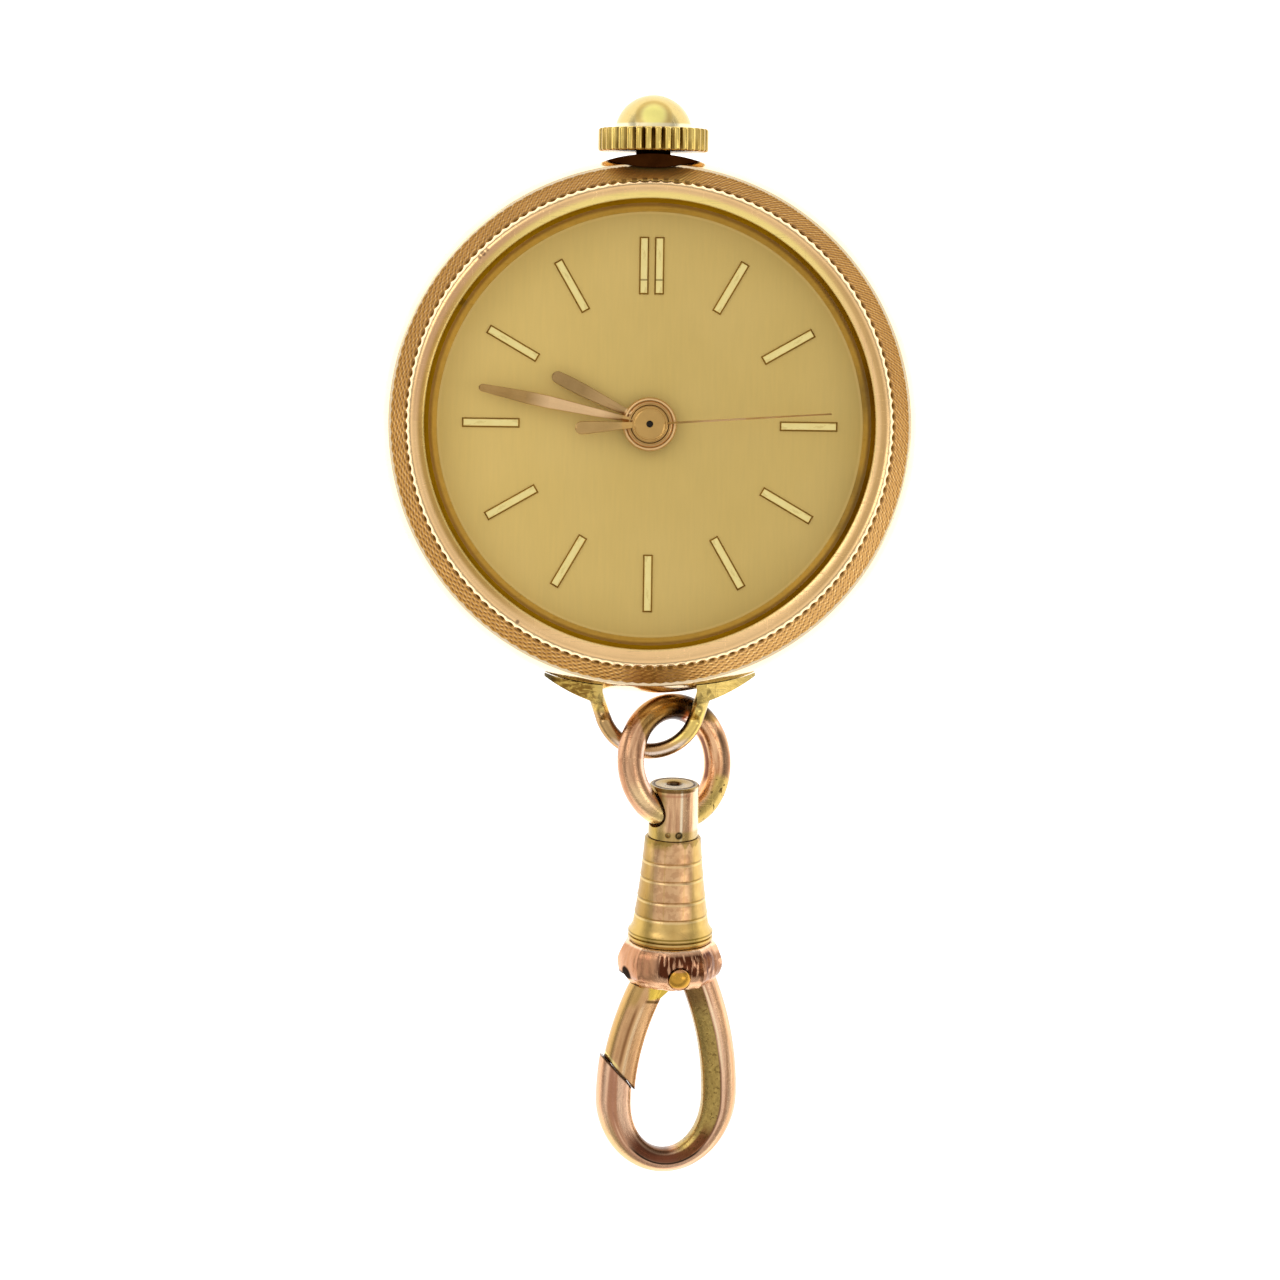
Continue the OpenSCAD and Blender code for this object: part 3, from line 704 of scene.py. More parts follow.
def turned_gold():
    finish = Finish("turned_gold")
    cut = finish.attribute("cut")
    cloud = finish.grain(1.6, 3)
    speck = finish.grain(0.2, 2)
    angle = finish.angle()
    # Painted light: the lower right of the ring is lighter, as the light falls on it.
    highlight = finish.between(angle, -95, -8, 22)
    finish.colour = finish.mix(cloud, (152, 106, 36), (184, 134, 62))
    finish.coat(highlight * 0.5, (216, 168, 100))
    # Painted shade: the upper left of the ring is darker.
    finish.coat(finish.between(angle, 45, 172, 14) * 0.4, (138, 96, 30))
    finish.coat(finish.rise(cut, 0.45, 0.95) * 0.8, (96, 60, 14))
    # Painted highlight on the crests between the cuts, stronger on the lighter lower right.
    crest_highlight = finish.rise(cut, 0.34, 0.08) * finish.rise(speck, 0.4, 0.58)
    finish.coat(crest_highlight * (0.3 + highlight * 0.45), (252, 214, 144))
    # Painted light under the crown, which lifts the crown's dark reflection in the ring.
    under_crown_light = finish.between(angle, 84, 96, 7)
    finish.coat(under_crown_light * 0.9, (255, 214, 128))
    # A browner patch with a streaky grain at the bottom of the ring, below the bail.
    brown_patch = finish.rise(finish.x, -1.3, -1.0) * finish.rise(finish.x, 2.6, 1.4)
    brown_patch = brown_patch * finish.rise(finish.y, -12.0, -12.4)
    rubbed = finish.grain(0.5, 3, finish.stretch(1.6, 0.2, 0.2))
    brown = finish.mix(rubbed, (136, 94, 30), (206, 154, 80))
    finish.coat(brown_patch * 0.95, brown)
    # Painted shade: dark dashes in the gaps between the bezel's lobes, at the top of the slope.
    hollow = finish.sum("COSINE", angle * math.radians(LOBES), 0)
    lobe_gap_shade = finish.rise(finish.radius(), 12.82, 12.76) * finish.rise(hollow, -0.15, 0.35)
    finish.coat(lobe_gap_shade * 0.7, (96, 60, 12))
    return finish.surface(0.34 + cut * 0.1, 1.0, (speck - 0.5) * 0.006)


settle("engine_turned_ring", ring_bm, "watch", turned_gold(), ["knurled_ring"], sharp=60)

# %% [markdown]
# The bezel holds the crystal. It is rounded outside and falls gently inwards to a crisp inner edge. Its
# outer foot is cut into 145 small lobes, a beaded edge that catches the light above the darker ring.
# They are made in the same spin as the rest: the profile is spun with eight steps to a lobe, and the
# points near the foot are moved in and out.

# %% Bezel
LOBE_STEPS = 8
LOBE_DEPTH = 0.09
LOBE_REACH = 0.14
LOBE_MIDDLE = 0.55
BEZEL_ROUND = 0.42
BEZEL_OUT = 12.65
BEZEL_IN = 11.72
BEZEL_FALL = 0.12
BEZEL_CORNER = 0.07

bezel_low, bezel_high = span("bezel")
bezel_mid = BEZEL_OUT - BEZEL_ROUND
crown_z = bezel_high.z - BEZEL_ROUND
clip_z = ring_high.z + 0.03
clip_turn = math.degrees(math.asin((clip_z - crown_z) / BEZEL_ROUND))
bezel_profile = arc((bezel_mid, crown_z), BEZEL_ROUND, clip_turn, 96, 16)
bezel_profile += arc(
    (BEZEL_IN + BEZEL_CORNER, bezel_high.z - BEZEL_FALL - BEZEL_CORNER), BEZEL_CORNER, 105, 180, 5
)
bezel_profile += [(BEZEL_IN, bezel_low.z), (bezel_mid, bezel_low.z), (bezel_mid, clip_z)]
bezel_bm = turned(bezel_profile, steps=LOBES * LOBE_STEPS, sectors=SECTORS)
for vert in bezel_bm.verts:
    outward, away, turn = round_axis(vert)
    foot = max(0.0, min(1.0, (away - (BEZEL_OUT - LOBE_REACH)) / LOBE_REACH))
    if vert.co.z < clip_z - 0.01 or foot == 0:
        continue
    lobe = 1 - abs(math.cos(turn * LOBES / 2))
    vert.co += outward * LOBE_DEPTH * foot * (lobe - LOBE_MIDDLE)


def bezel_gold():
    finish = Finish("bezel_gold")
    radius = finish.radius()
    angle = finish.angle()
    cloud = finish.grain(2.5, 3)
    finish.colour = finish.mix(cloud, (242, 196, 136), (252, 210, 152))
    inner = finish.rise(radius, 12.2, 11.95)
    # Painted highlight: the inner slope is lighter along the top of the bezel.
    up = finish.rise(finish.y, 4, 10)
    finish.coat(inner * up * 0.9, (255, 228, 138))
    # Painted shade: the inner slope is olive on the left.
    left = finish.rise(finish.x, -4, -9)
    olive = finish.mix(finish.grain(1.2, 3), (158, 120, 54), (190, 150, 76))
    finish.coat(inner * left * (1 - up * 0.5) * 0.9, olive)
    # Painted shade on the middle of the bezel at the right.
    right = finish.rise(finish.x, 6, 10.5)
    middle = finish.between(radius, 12.0, 12.32, 0.1)
    finish.coat(middle * right * 0.6, (190, 150, 84))
    blush = finish.between(angle, 118, 176, 14) * middle
    finish.coat(blush * 0.6, (196, 146, 108))
    # Painted highlights on the rounded outer shoulder and along the inner edge.
    finish.coat(finish.rise(radius, 12.4, 12.56) * 0.7, (255, 232, 186))
    finish.coat(finish.rise(radius, 11.86, 11.76) * 0.5, (255, 226, 140))
    for clock, width in ((313.6, 0.1), (314.9, 0.13), (316.2, 0.09), (213, 0.1)):
        turn = math.radians(90 - clock)
        place = (12.36 * math.cos(turn), 12.36 * math.sin(turn), bezel_high.z - 0.03)
        finish.coat(finish.spot(place, width, 0.05) * 0.75, (96, 66, 48))
    return worn(finish, 0.2, smudges=0.45)


settle("bezel_beaded", bezel_bm, "watch", bezel_gold(), ["bezel"])

# %% [markdown]
# Inside the bezel a sloping wall runs down to the dial. Its top, under the bezel's edge, is painted dark as
# shade, darker still on the right, and two patches on the right are darker too.

# %% Dial wall
WALL_LOW_R = 11.1
WALL_HIGH_R = 11.51

wall_low, wall_high = span("dial_wall")
wall_profile = [(WALL_LOW_R, wall_low.z), (wall_high.x, wall_low.z)]
wall_profile += [(wall_high.x, wall_high.z), (WALL_HIGH_R, wall_high.z)]
wall_bm = turned(wall_profile)


def wall_olive():
    finish = Finish("wall_olive")
    radius = finish.radius()
    angle = finish.angle()
    cloud = finish.grain(1.4, 3)
    upright = finish.grain(0.3, 2, finish.stretch(1, 1, 0.1))
    low = finish.mix(upright, (206, 174, 84), (232, 202, 112))
    high = finish.mix(cloud, (140, 96, 2), (166, 120, 12))
    # Painted shade: the top of the wall, under the bezel's edge, is dark, and the lower slope is lighter.
    finish.colour = finish.mix(finish.rise(radius, 11.27, 11.42), low, high)
    # Painted shade: the upper part of the wall is darker still on the right.
    right = finish.between(angle, -62, 52, 18)
    finish.coat(right * finish.rise(radius, 11.3, 11.5) * 0.6, (104, 62, 2))
    # Two darker, cloudy patches on the right.
    for clock_from, clock_to in ((75, 87), (102, 120)):
        patch = finish.between(angle, 90 - clock_to, 90 - clock_from, 3)
        finish.coat(patch * cloud * 0.8, (72, 38, 4))
    nick = finish.between(angle, 146.8, 148.6, 0.5) * finish.rise(radius, 11.36, 11.42)
    finish.coat(nick * 0.5, (70, 44, 12))
    return worn(finish, 0.34, smudges=0.9)


settle("wall_ring", wall_bm, "watch", wall_olive(), ["dial_wall"])

# %% [markdown]
# The crystal is a high clear dome. Real glass would bend the view of the dial, but the dial's sizes were
# read through it, so here the dome lets everything pass straight and only adds its own reflection. That
# is a mix of a transparent and a mirror surface, with the facing angle as the mask. The reflection only
# starts where the dome is seen at over about 60 degrees, and it is tinted grey there, so that nothing
# shows from above and the dome's outline shows from the side. A true Fresnel mask would be a mirror on
# the inner wall, where the ray meets the surface from behind.

# %% Crystal
CRYSTAL_WALL = 0.9
CRYSTAL_RIM = 0.7
CRYSTAL_EDGE_Z = 9.3

glass_low, glass_high = span("crystal")
glass_r = glass_high.x
rise_h = glass_high.z - CRYSTAL_EDGE_Z
glass_ball = (glass_r**2 + rise_h**2) / (2 * rise_h)
glass_mid = glass_high.z - glass_ball
inner_glass = glass_ball - CRYSTAL_WALL
outer_turn = math.degrees(math.acos(glass_r / glass_ball))
inner_turn = math.degrees(math.asin((glass_low.z - glass_mid) / inner_glass))
glass_profile = arc((0, glass_mid), glass_ball, 90, outer_turn, 48)
glass_profile.append((glass_r, glass_low.z))
glass_profile += arc((0, glass_mid), inner_glass, inner_turn, 90, 40)
glass_bm = ease(turned(glass_profile, open_ends=True), 0.05, degrees=35)


def crystal_clear():
    finish = Finish("crystal_clear")
    facing = finish.node("LayerWeight", sockets={"Blend": 0.5}, out="Facing")
    smear = finish.grain(3, 3)
    mask = finish.rise(facing, 0.55, 0.85) * (CRYSTAL_RIM * (0.8 + smear * 0.4))
    clear = finish.node("BsdfTransparent", sockets={"Color": (1, 1, 1, 1)})
    hair = finish.rise(finish.grain(0.8, 2, finish.stretch(1, 7, 1), 0.6), 0.66, 0.7)
    bump = finish.node("Bump", sockets={"Strength": 0.2, "Distance": MM, "Height": hair * -0.004})
    shine = finish.node(
        "BsdfPrincipled",
        sockets={
            "Base Color": finish.mix(facing, (0.95, 0.96, 0.95, 1), (0.3, 0.34, 0.32, 1)),
            "Metallic": 1.0,
            "Roughness": 0.03 + hair * 0.1,
            "Normal": bump,
        },
    )
    both = finish.node("MixShader", sockets={0: mask, 1: clear, 2: shine})
    finish.node("OutputMaterial", sockets={"Surface": both})
    return finish.material


settle("crystal_dome", glass_bm, "watch", crystal_clear(), ["crystal"])

# %% [markdown]
# ## Dial and hands
# The dial's solid is right as it is, a thin disc with a hole, so only its material is new: champagne satin
# with a very faint upright brushing, painted lighter on the left as the light falls, with a little painted
# shade towards the rim and a thin painted highlight line at the rim. A solid has no `own` attribute, so this
# finish reads object coordinates.

# %% Dial finish
def dress(node, material):
    """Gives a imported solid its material."""
    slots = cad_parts[node].material_slots
    for slot in slots:
        slot.material = material
    print(f"{node}: {material.name}")


def dial_satin():
    finish = Finish("dial_satin", from_attribute=False)
    brushed = finish.grain(0.4, 2, finish.stretch(2.4, 0.2, 1))
    cloud = finish.grain(5, 2)
    radius = finish.radius()
    finish.colour = finish.mix(cloud, (211, 182, 106), (221, 192, 119))
    # Painted light: the left of the dial is lighter, and painted shade darkens it a little towards the rim.
    left = finish.rise(finish.x, 4, -11)
    level = 1 + (brushed - 0.5) * 0.1 - finish.rise(radius, 8, 11) * 0.03 + left * 0.13
    finish.dim(level)
    # A thin painted highlight line at the dial's rim.
    line = finish.between(radius, 10.98, 11.12, 0.05)
    finish.coat(line * 0.4, (240, 210, 136))
    return finish.surface(0.5 + brushed * 0.06, 0.85)


dress("dial", dial_satin())

# %% [markdown]
# The movement, the arbor and the crown's stem are hidden or nearly so. They keep their solids and get
# plain worked-steel finishes, with turning marks and a little oil.

# %% Hidden steel
def steel(name, dark, light):
    finish = Finish(name, from_attribute=False)
    rings = finish.grain(0.25, 2, finish.stretch(0.2, 0.2, 6))
    oil = finish.grain(2, 3)
    finish.colour = finish.mix(rings * 0.6 + oil * 0.4, dark, light)
    return finish.surface(0.3 + oil * 0.2, 1.0, (rings - 0.5) * 0.01)


dress("movement", steel("movement_metal", (150, 146, 132), (186, 182, 168)))
dress("hand_arbor", steel("arbor_dark", (30, 26, 22), (56, 50, 44)))
dress("crown_stem", steel("stem_steel", (140, 140, 138), (184, 184, 180)))

# %% [markdown]
# The hour bars are applied: small blocks of gold, diamond cut so that all four sides slope. From above the
# slopes mirror the dark side of the studio, and they are also painted darker as shade, which draws a thin
# outline round each bar. A cube does it, scaled to size and with its top face drawn in.

# %% Hour bars
BAR_L = 3.0
BAR_W = 0.5
BAR_T = 0.2
BAR_SLOPE = 0.085
BAR_MID = 8.28
BAR_PAIR = 0.8
BAR_FOOT = 0.03
BAR_CLEAR = 0.01


def bar_gold():
    finish = Finish("bar_gold")
    top = finish.attribute("upward")
    cloud = finish.grain(0.7, 3)
    finish.colour = finish.mix(cloud, (244, 220, 138), (255, 238, 166))
    scuff = finish.rise(finish.grain(0.16, 2, finish.stretch(1, 0.35, 1)), 0.58, 0.68)
    finish.coat(scuff * 0.35, (206, 176, 100))
    # Painted shade on the sloping sides, which draws the dark outline round the bar.
    finish.coat(finish.rise(top, 0.98, 0.72), (158, 126, 62))
    split = finish.between(finish.y, -0.79, -0.7, 0.02) * finish.attribute("pair")
    finish.coat(split * 0.8, (140, 116, 66))
    return finish.surface(0.3 + cloud * 0.1, 0.9, (cloud - 0.5) * 0.004)


def hour_bar(node, clock, shift, material):
    """One bar at a place on the clock, in degrees, moved sideways by a shift."""
    bm = bmesh.new()
    bmesh.ops.create_cube(bm, size=1)
    bmesh.ops.scale(bm, vec=(BAR_W, BAR_L, BAR_T), verts=bm.verts)
    roof = [face for face in bm.faces if face.normal.z > 0.9]
    bmesh.ops.inset_region(bm, faces=roof, thickness=BAR_SLOPE, use_even_offset=True)
    upward = bm.verts.layers.float.new("upward")
    pair = bm.verts.layers.float.new("pair")
    for vert in bm.verts:
        inside = abs(vert.co.x) < BAR_W / 2 - 0.01
        if vert.co.z > 0 and not inside:
            vert.co.z = -BAR_T / 2 + BAR_FOOT
        vert[upward] = 1.0 if inside else 0.0
        vert[pair] = 1.0 if shift else 0.0
    place = Matrix.Rotation(math.radians(-clock), 4, "Z")
    place = place @ Matrix.Translation((shift, BAR_MID, dial_top + BAR_CLEAR + BAR_T / 2))
    settle(node + "_cut", bm, "watch", material, [node], place, sharp=20)


bar_material = bar_gold()
for hour in range(1, 12):
    hour_bar(f"bar_{hour}", 30 * hour, 0, bar_material)
hour_bar("bar_12_left", 0, -BAR_PAIR / 2, bar_material)
hour_bar("bar_12_right", 0, BAR_PAIR / 2, bar_material)

# %% [markdown]
# The hands are stamped leaves of pinkish gold with a low ridge down the middle and a round end. Each
# blade is drawn through a few widths, its round tip follows a half circle, and the turned hub is joined
# to it with a Boolean, so that hand and hub are one piece as on the real watch.

# %% Hands
HAND_SECTION = [(-1, 0), (-0.92, 0.6), (0, 1), (0.92, 0.6), (1, 0)]
BLADE_SHARE = 0.94


def blade(widths, thick, tip_steps=5):
    """A leaf along Y through (distance, half width) pairs, with a rounded end."""
    places = list(widths)
    reach, end = places[-1]
    direction = math.copysign(1, reach - places[0][0])
    for i in range(1, tip_steps + 1):
        turn = math.pi / 2 * i / (tip_steps + 0.35)
        places.append((reach + direction * end * math.sin(turn), end * math.cos(turn)))
    sideways = Vector((-direction, 0, 0))
    stations = [station((0, y, 0), sideways, Vector((0, 0, 1)), w, thick) for y, w in places]
    return drawn(HAND_SECTION, stations, [y for y, _ in places])


def hub(outer, bore, thick, lip):
    """A turned hub ring with a rounded lip and a shallow groove inside it."""
    round_r = lip / 2
    profile = [(bore, 0), (outer, 0), (outer, thick - round_r)]
    profile += arc((outer - round_r, thick - round_r), round_r, 15, 165, 6)
    profile += [(outer - lip - 0.03, thick - 0.05), (outer - lip - 0.09, thick - 0.02), (bore, thick - 0.02)]
    return turned(profile, steps=96)


def hand_gold(name, dark, light, highlight, highlight_from, highlight_to, hub_colour, groove=None):
    """A hand's gold: a painted highlight between two distances along it, with its own colour on the hub."""
    finish = Finish(name)
    cloud = finish.grain(0.9, 3)
    along = finish.y
    radius = finish.radius()
    finish.colour = finish.mix(cloud, dark, light)
    # Painted highlight along the middle of the blade.
    finish.coat(finish.between(along, highlight_from, highlight_to, 0.8) * 0.85, highlight)
    finish.coat(finish.rise(radius, 1.5, 1.4), hub_colour)
    if groove is not None:
        finish.coat(finish.between(radius, *groove, 0.03) * 0.75, (118, 76, 36))
    return worn(finish, 0.32, smudges=0.6)


def make_hand(node, clock, rise, thick, outer, bore, lip, blades, material):
    """A hub with its blades, at a height above the dial and turned to its place on the clock."""
    bm = hub(outer, bore, thick, lip)
    for widths in blades:
        bm = combine(bm, blade(widths, thick * BLADE_SHARE), "UNION")
    place = Matrix.Rotation(math.radians(-clock), 4, "Z") @ Matrix.Translation((0, 0, dial_top + rise))
    settle(node + "_leaf", bm, node, material, [node], place, sharp=25)


HOUR_AT = 296.4
MINUTE_AT = 281.6
SECOND_AT = 86.1
hour_leaf = [(1.0, 0.2), (1.7, 0.2), (2.6, 0.26), (3.8, 0.33), (4.8, 0.34), (5.38, 0.31)]
minute_leaf = [(0.8, 0.15), (1.5, 0.15), (3.5, 0.24), (5.4, 0.33), (6.6, 0.32), (8.0, 0.25), (8.9, 0.2)]
needle = [(0.7, 0.055), (5, 0.05), (9.44, 0.04)]
tail = [(-0.7, 0.16), (-1.6, 0.2), (-2.8, 0.3), (-3.55, 0.34)]
hour_rose = hand_gold(
    "hour_rose",
    dark=(150, 118, 72),
    light=(178, 144, 94),
    highlight=(190, 154, 104),
    highlight_from=1.6,
    highlight_to=3.4,
    hub_colour=(232, 190, 132),
    groove=(0.95, 1.1),
)
minute_rose = hand_gold(
    "minute_rose",
    dark=(158, 122, 70),
    light=(186, 148, 92),
    highlight=(236, 196, 146),
    highlight_from=1.9,
    highlight_to=6.0,
    hub_colour=(206, 164, 100),
)
second_rose = hand_gold(
    "second_rose",
    dark=(176, 140, 84),
    light=(202, 164, 106),
    highlight=(248, 212, 164),
    highlight_from=2.5,
    highlight_to=9.5,
    hub_colour=(202, 160, 94),
)
hour_size = {"rise": 0.87, "thick": 0.18, "outer": 1.4, "bore": 0.63, "lip": 0.22}
minute_size = {"rise": 1.19, "thick": 0.16, "outer": 1.1, "bore": 0.43, "lip": 0.12}
second_size = {"rise": 1.53, "thick": 0.12, "outer": 0.92, "bore": 0.18, "lip": 0.1}
make_hand("hour_hand", HOUR_AT, blades=[hour_leaf], material=hour_rose, **hour_size)
make_hand("minute_hand", MINUTE_AT, blades=[minute_leaf], material=minute_rose, **minute_size)
make_hand("seconds_hand", SECOND_AT, blades=[needle, tail], material=second_rose, **second_size)

# %% [markdown]
# ## The crown
# The crown winds and sets the watch. It is a short fluted drum with a round bead on top, a ball of gold
# that gives this kind of watch its look. The whole crown is one profile, with its bore and recess
# included, spun in twelve steps to a flute, and the drum's wall is then drawn in at each flute.

# %% Crown
FLUTES = 34
FLUTE_STEPS = 12
FLUTE_DEPTH = 0.17
FLUTE_REACH = 0.34
FLUTE_ROW = 0.32
FLUTE_FADE = 0.2
FLUTE_POWER = 2.2
RIM_CORNER = 0.13
BORE_R = 0.43
RECESS_R = 0.95
BEAD_HALF = 2.01
BEAD_FILLET = 0.12
DRUM_H = 1.22
RECESS_DEEP = 0.93
BORE_TOP = 16.23

crown_low, crown_high = span("crown")
rim_r = crown_high.x
drum_low = crown_low.y
drum_high = drum_low + DRUM_H
recess_top = drum_low + RECESS_DEEP
bead_h = crown_high.y - drum_high
bead_ball = (BEAD_HALF**2 + bead_h**2) / (2 * bead_h)
bead_mid = crown_high.y - bead_ball
bead_start = math.degrees(math.asin((drum_high + BEAD_FILLET - bead_mid) / bead_ball))
foot_r = bead_ball * math.cos(math.radians(bead_start))
crown_profile = [(0, BORE_TOP), (BORE_R, BORE_TOP), (BORE_R, recess_top), (RECESS_R, recess_top)]
crown_profile += [(RECESS_R, drum_low), (rim_r - RIM_CORNER, drum_low)]
crown_profile += arc((rim_r - RIM_CORNER, drum_low + RIM_CORNER), RIM_CORNER, -60, 0, 2)
crown_profile += arc((rim_r - RIM_CORNER, drum_high - RIM_CORNER), RIM_CORNER, 0, 60, 2)
crown_profile += [(rim_r - RIM_CORNER, drum_high), (rim_r - FLUTE_ROW, drum_high)]
crown_profile += [(foot_r + BEAD_FILLET, drum_high), (foot_r + BEAD_FILLET / 4, drum_high + BEAD_FILLET / 3)]
crown_profile += arc((0, bead_mid), bead_ball, bead_start, 90, 24)
crown_bm = turned(crown_profile, steps=FLUTES * FLUTE_STEPS, open_ends=True)
flute_layer = crown_bm.verts.layers.float.new("flute")
for vert in crown_bm.verts:
    outward, away, turn = round_axis(vert)
    reach = max(0.0, min(1.0, (away - (rim_r - FLUTE_REACH)) / FLUTE_FADE))
    swing = 0.5 - 0.5 * math.cos(turn * FLUTES)
    groove = reach * swing**FLUTE_POWER
    vert[flute_layer] = groove
    vert.co -= outward * FLUTE_DEPTH * groove

crown_place = Matrix.Translation((0, 0, band_mid)) @ Matrix.Rotation(math.radians(-90), 4, "X")


def crown_gold():
    finish = Finish("crown_gold")
    flute = finish.attribute("flute")
    away = abs(finish.x)
    cloud = finish.grain(0.8, 3)
    wall = 1 - finish.rise(finish.z, drum_high - 0.02, drum_high + 0.02)
    teeth = finish.mix(cloud, (206, 168, 76), (244, 216, 130))
    cream = finish.mix(cloud, (228, 202, 134), (240, 218, 154))
    # Painted shade: the bead is darker below its top.
    side = finish.rise(finish.y, -1.75, -1.3)
    cream = finish.mix(side * 0.95, cream, (206, 182, 118))
    finish.colour = finish.mix(wall, cream, teeth)
    # Painted highlight: a soft oval on the top of the bead, in a ring of painted shade.
    bead_highlight_at = (0.0, -1.7, drum_high + 0.62)
    bead_highlight = finish.spot(bead_highlight_at, 0.62, 0.2)
    ring = finish.spot(bead_highlight_at, 0.98, 0.12) - bead_highlight
    finish.coat(ring * 0.6, (196, 164, 82))
    finish.coat(bead_highlight * 0.9, (255, 244, 148))
    # Painted highlight: a whitish band round the foot of the bead.
    pale = finish.between(finish.z, drum_high + 0.02, drum_high + 0.22, 0.06)
    finish.coat(pale * 0.6, (255, 246, 214))
    # The flutes are darker, most in the middle of the drum and in patches, and a little darker towards the
    # drum's foot.
    middle = 1 - finish.rise(away, 1.5, 2.4)
    patchy = 0.55 + finish.rise(finish.grain(0.7, 2, finish.stretch(1, 1, 0.3)), 0.4, 0.6) * 0.45
    flute_dark = finish.rise(flute, 0.25, 0.75) * wall * (0.2 + middle * 0.8) * patchy
    finish.coat(flute_dark, (78, 50, 6))
    low_flute_dark = finish.rise(finish.z, drum_low + 0.75, drum_low + 0.2) * wall * finish.rise(flute, 0.1, 0.5)
    finish.coat(low_flute_dark * 0.4, (112, 74, 10))
    # Painted shade: the drum's two ends, where it turns away, are a darker olive.
    ends = finish.rise(away, 2.1, 2.45) * wall
    finish.coat(ends * 0.65, (166, 134, 66))
    foot = finish.rise(finish.z, drum_low + 0.12, drum_low + 0.03)
    finish.coat(foot * 0.5, (196, 152, 90))
    return worn(finish, 0.22 + bead_highlight * 0.3 + ring * 0.2, smudges=0.6)


settle("crown_fluted", crown_bm, "crown", crown_gold(), ["crown"], crown_place, sharp=40)

# %% [markdown]
# Some solids have the right shape but are a loose set of triangles. A copy of such a solid, with its
# doubles merged, shades smoothly where the metal is round and keeps its crisp edges. `copy_of` makes
# one in millimetres, moved back to the frame that it was designed in, so that `own` means the same.

# %% Copy a solid
def copy_of(node, place):
    """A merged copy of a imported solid, in millimetres in its own frame."""
    bm = bmesh.new()
    bm.from_mesh(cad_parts[node].data)
    bmesh.ops.scale(bm, vec=(1 / MM, 1 / MM, 1 / MM), verts=bm.verts)
    bmesh.ops.transform(bm, matrix=place.inverted(), verts=bm.verts)
    bmesh.ops.remove_doubles(bm, verts=bm.verts, dist=0.001)
    return bm


def seat_dark():
    finish = Finish("seat_dark")
    cloud = finish.grain(0.6, 3)
    away = abs(finish.x)
    # Dark brown, partly tarnish and partly painted shade from the crown above it; the ends, where that shade
    # is weaker, are lighter.
    finish.colour = finish.mix(cloud, (34, 12, 2), (70, 36, 10))
    ends = finish.rise(away, 2.45, 2.8)
    finish.coat(ends * 0.4, (96, 62, 26))
    return finish.surface(0.4 + cloud * 0.15, 1.0, cloud * 0.01, edge=paint(110, 70, 30))


seat_bm = copy_of("crown_seat", Matrix())
settle("crown_seat_smooth", seat_bm, "watch", seat_dark(), ["crown_seat"], sharp=28)

# %% [markdown]
# ## Bail and jump ring
# A leaf-shaped saddle is soldered to the band at six, and a wire loop droops from it. The wire's inner edge
# is painted dark as shade, it is darker still where the ring rubs on its inside, and the saddle shows long
# file marks. The shape is the solid's, in a smooth copy, and the attribute `outward` says how far a point
# lies outside the wire's middle.

# %% Bail
BAIL_TURN = 0.75
BAIL_R = 2.55
BAIL_HALF = 0.41
BAIL_MID_Y = -(case_r + 0.49)
BAIL_SPAN = math.radians(72)
bail_place = Matrix.Rotation(math.radians(BAIL_TURN), 4, "Z")
bail_bm = copy_of("bail", bail_place)
outward_layer = bail_bm.verts.layers.float.new("outward")
for vert in bail_bm.verts:
    aside = abs(vert.co.x)
    below = BAIL_MID_Y - vert.co.y
    if math.atan2(aside, below) < BAIL_SPAN:
        away = math.hypot(aside, below) - BAIL_R
    else:
        away = aside * math.sin(BAIL_SPAN) + below * math.cos(BAIL_SPAN) - BAIL_R
    vert[outward_layer] = away / BAIL_HALF


def bail_gold():
    finish = Finish("bail_gold")
    outward = finish.attribute("outward")
    cloud = finish.grain(0.9, 3)
    filed = finish.grain(0.22, 3, finish.stretch(0.3, 1.3, 1.3), 0.6)
    saddle = finish.rise(finish.y, -15.1, -14.8)
    yellow = finish.mix(filed, (158, 124, 44), (240, 208, 122))
    yellow = finish.mix(cloud * 0.25, yellow, (250, 226, 154))
    left = finish.rise(finish.x, -2.4, -3.2)
    brown = finish.mix(finish.rise(filed, 0.4, 0.6), (116, 78, 20), (206, 170, 84))
    yellow = finish.mix(left * 0.85, yellow, brown)
    rose = finish.mix(cloud, (170, 134, 82), (204, 166, 114))
    loop = finish.mix(finish.rise(finish.x, 0.2, 1.5), rose, (232, 200, 112))
    low = finish.rise(finish.y, -16.2, -16.8)
    loop = finish.mix(low * 0.7, loop, (208, 160, 112))
    # Painted highlight: a pale stripe along the outer side of the loop's low part.
    loop = finish.mix(low * finish.between(outward, 0.1, 0.62, 0.12) * 0.85, loop, (255, 232, 212))
    # Painted shade along the loop's outer edge, and dark painted shade along its inner edge.
    loop = finish.mix(finish.rise(outward, 0.78, 0.95) * 0.7, loop, (150, 108, 66))
    loop = finish.mix(finish.rise(outward, -0.5, -0.78) * 0.9, loop, (62, 36, 12))
    rub = finish.spot((1.55, -15.75, band_mid), 0.4, 0.25)
    loop = finish.mix(rub * finish.rise(outward, 0.2, -0.3) * 0.8, loop, (84, 54, 14))
    finish.colour = finish.mix(saddle, loop, yellow)
    tip = finish.rise(finish.x, -4.6, -5.3)
    finish.coat(tip * saddle * 0.85, (60, 36, 8))
    # Painted reflection of the bright floor on the saddle's underside.
    under = finish.rise(finish.z, band_mid + 0.3, band_mid - 0.2) * saddle
    finish.coat(under * 0.4, (255, 240, 186))
    return worn(finish, 0.24, smudges=0.8)


settle("bail_smooth", bail_bm, "watch", bail_gold(), ["bail"], bail_place, sharp=35)

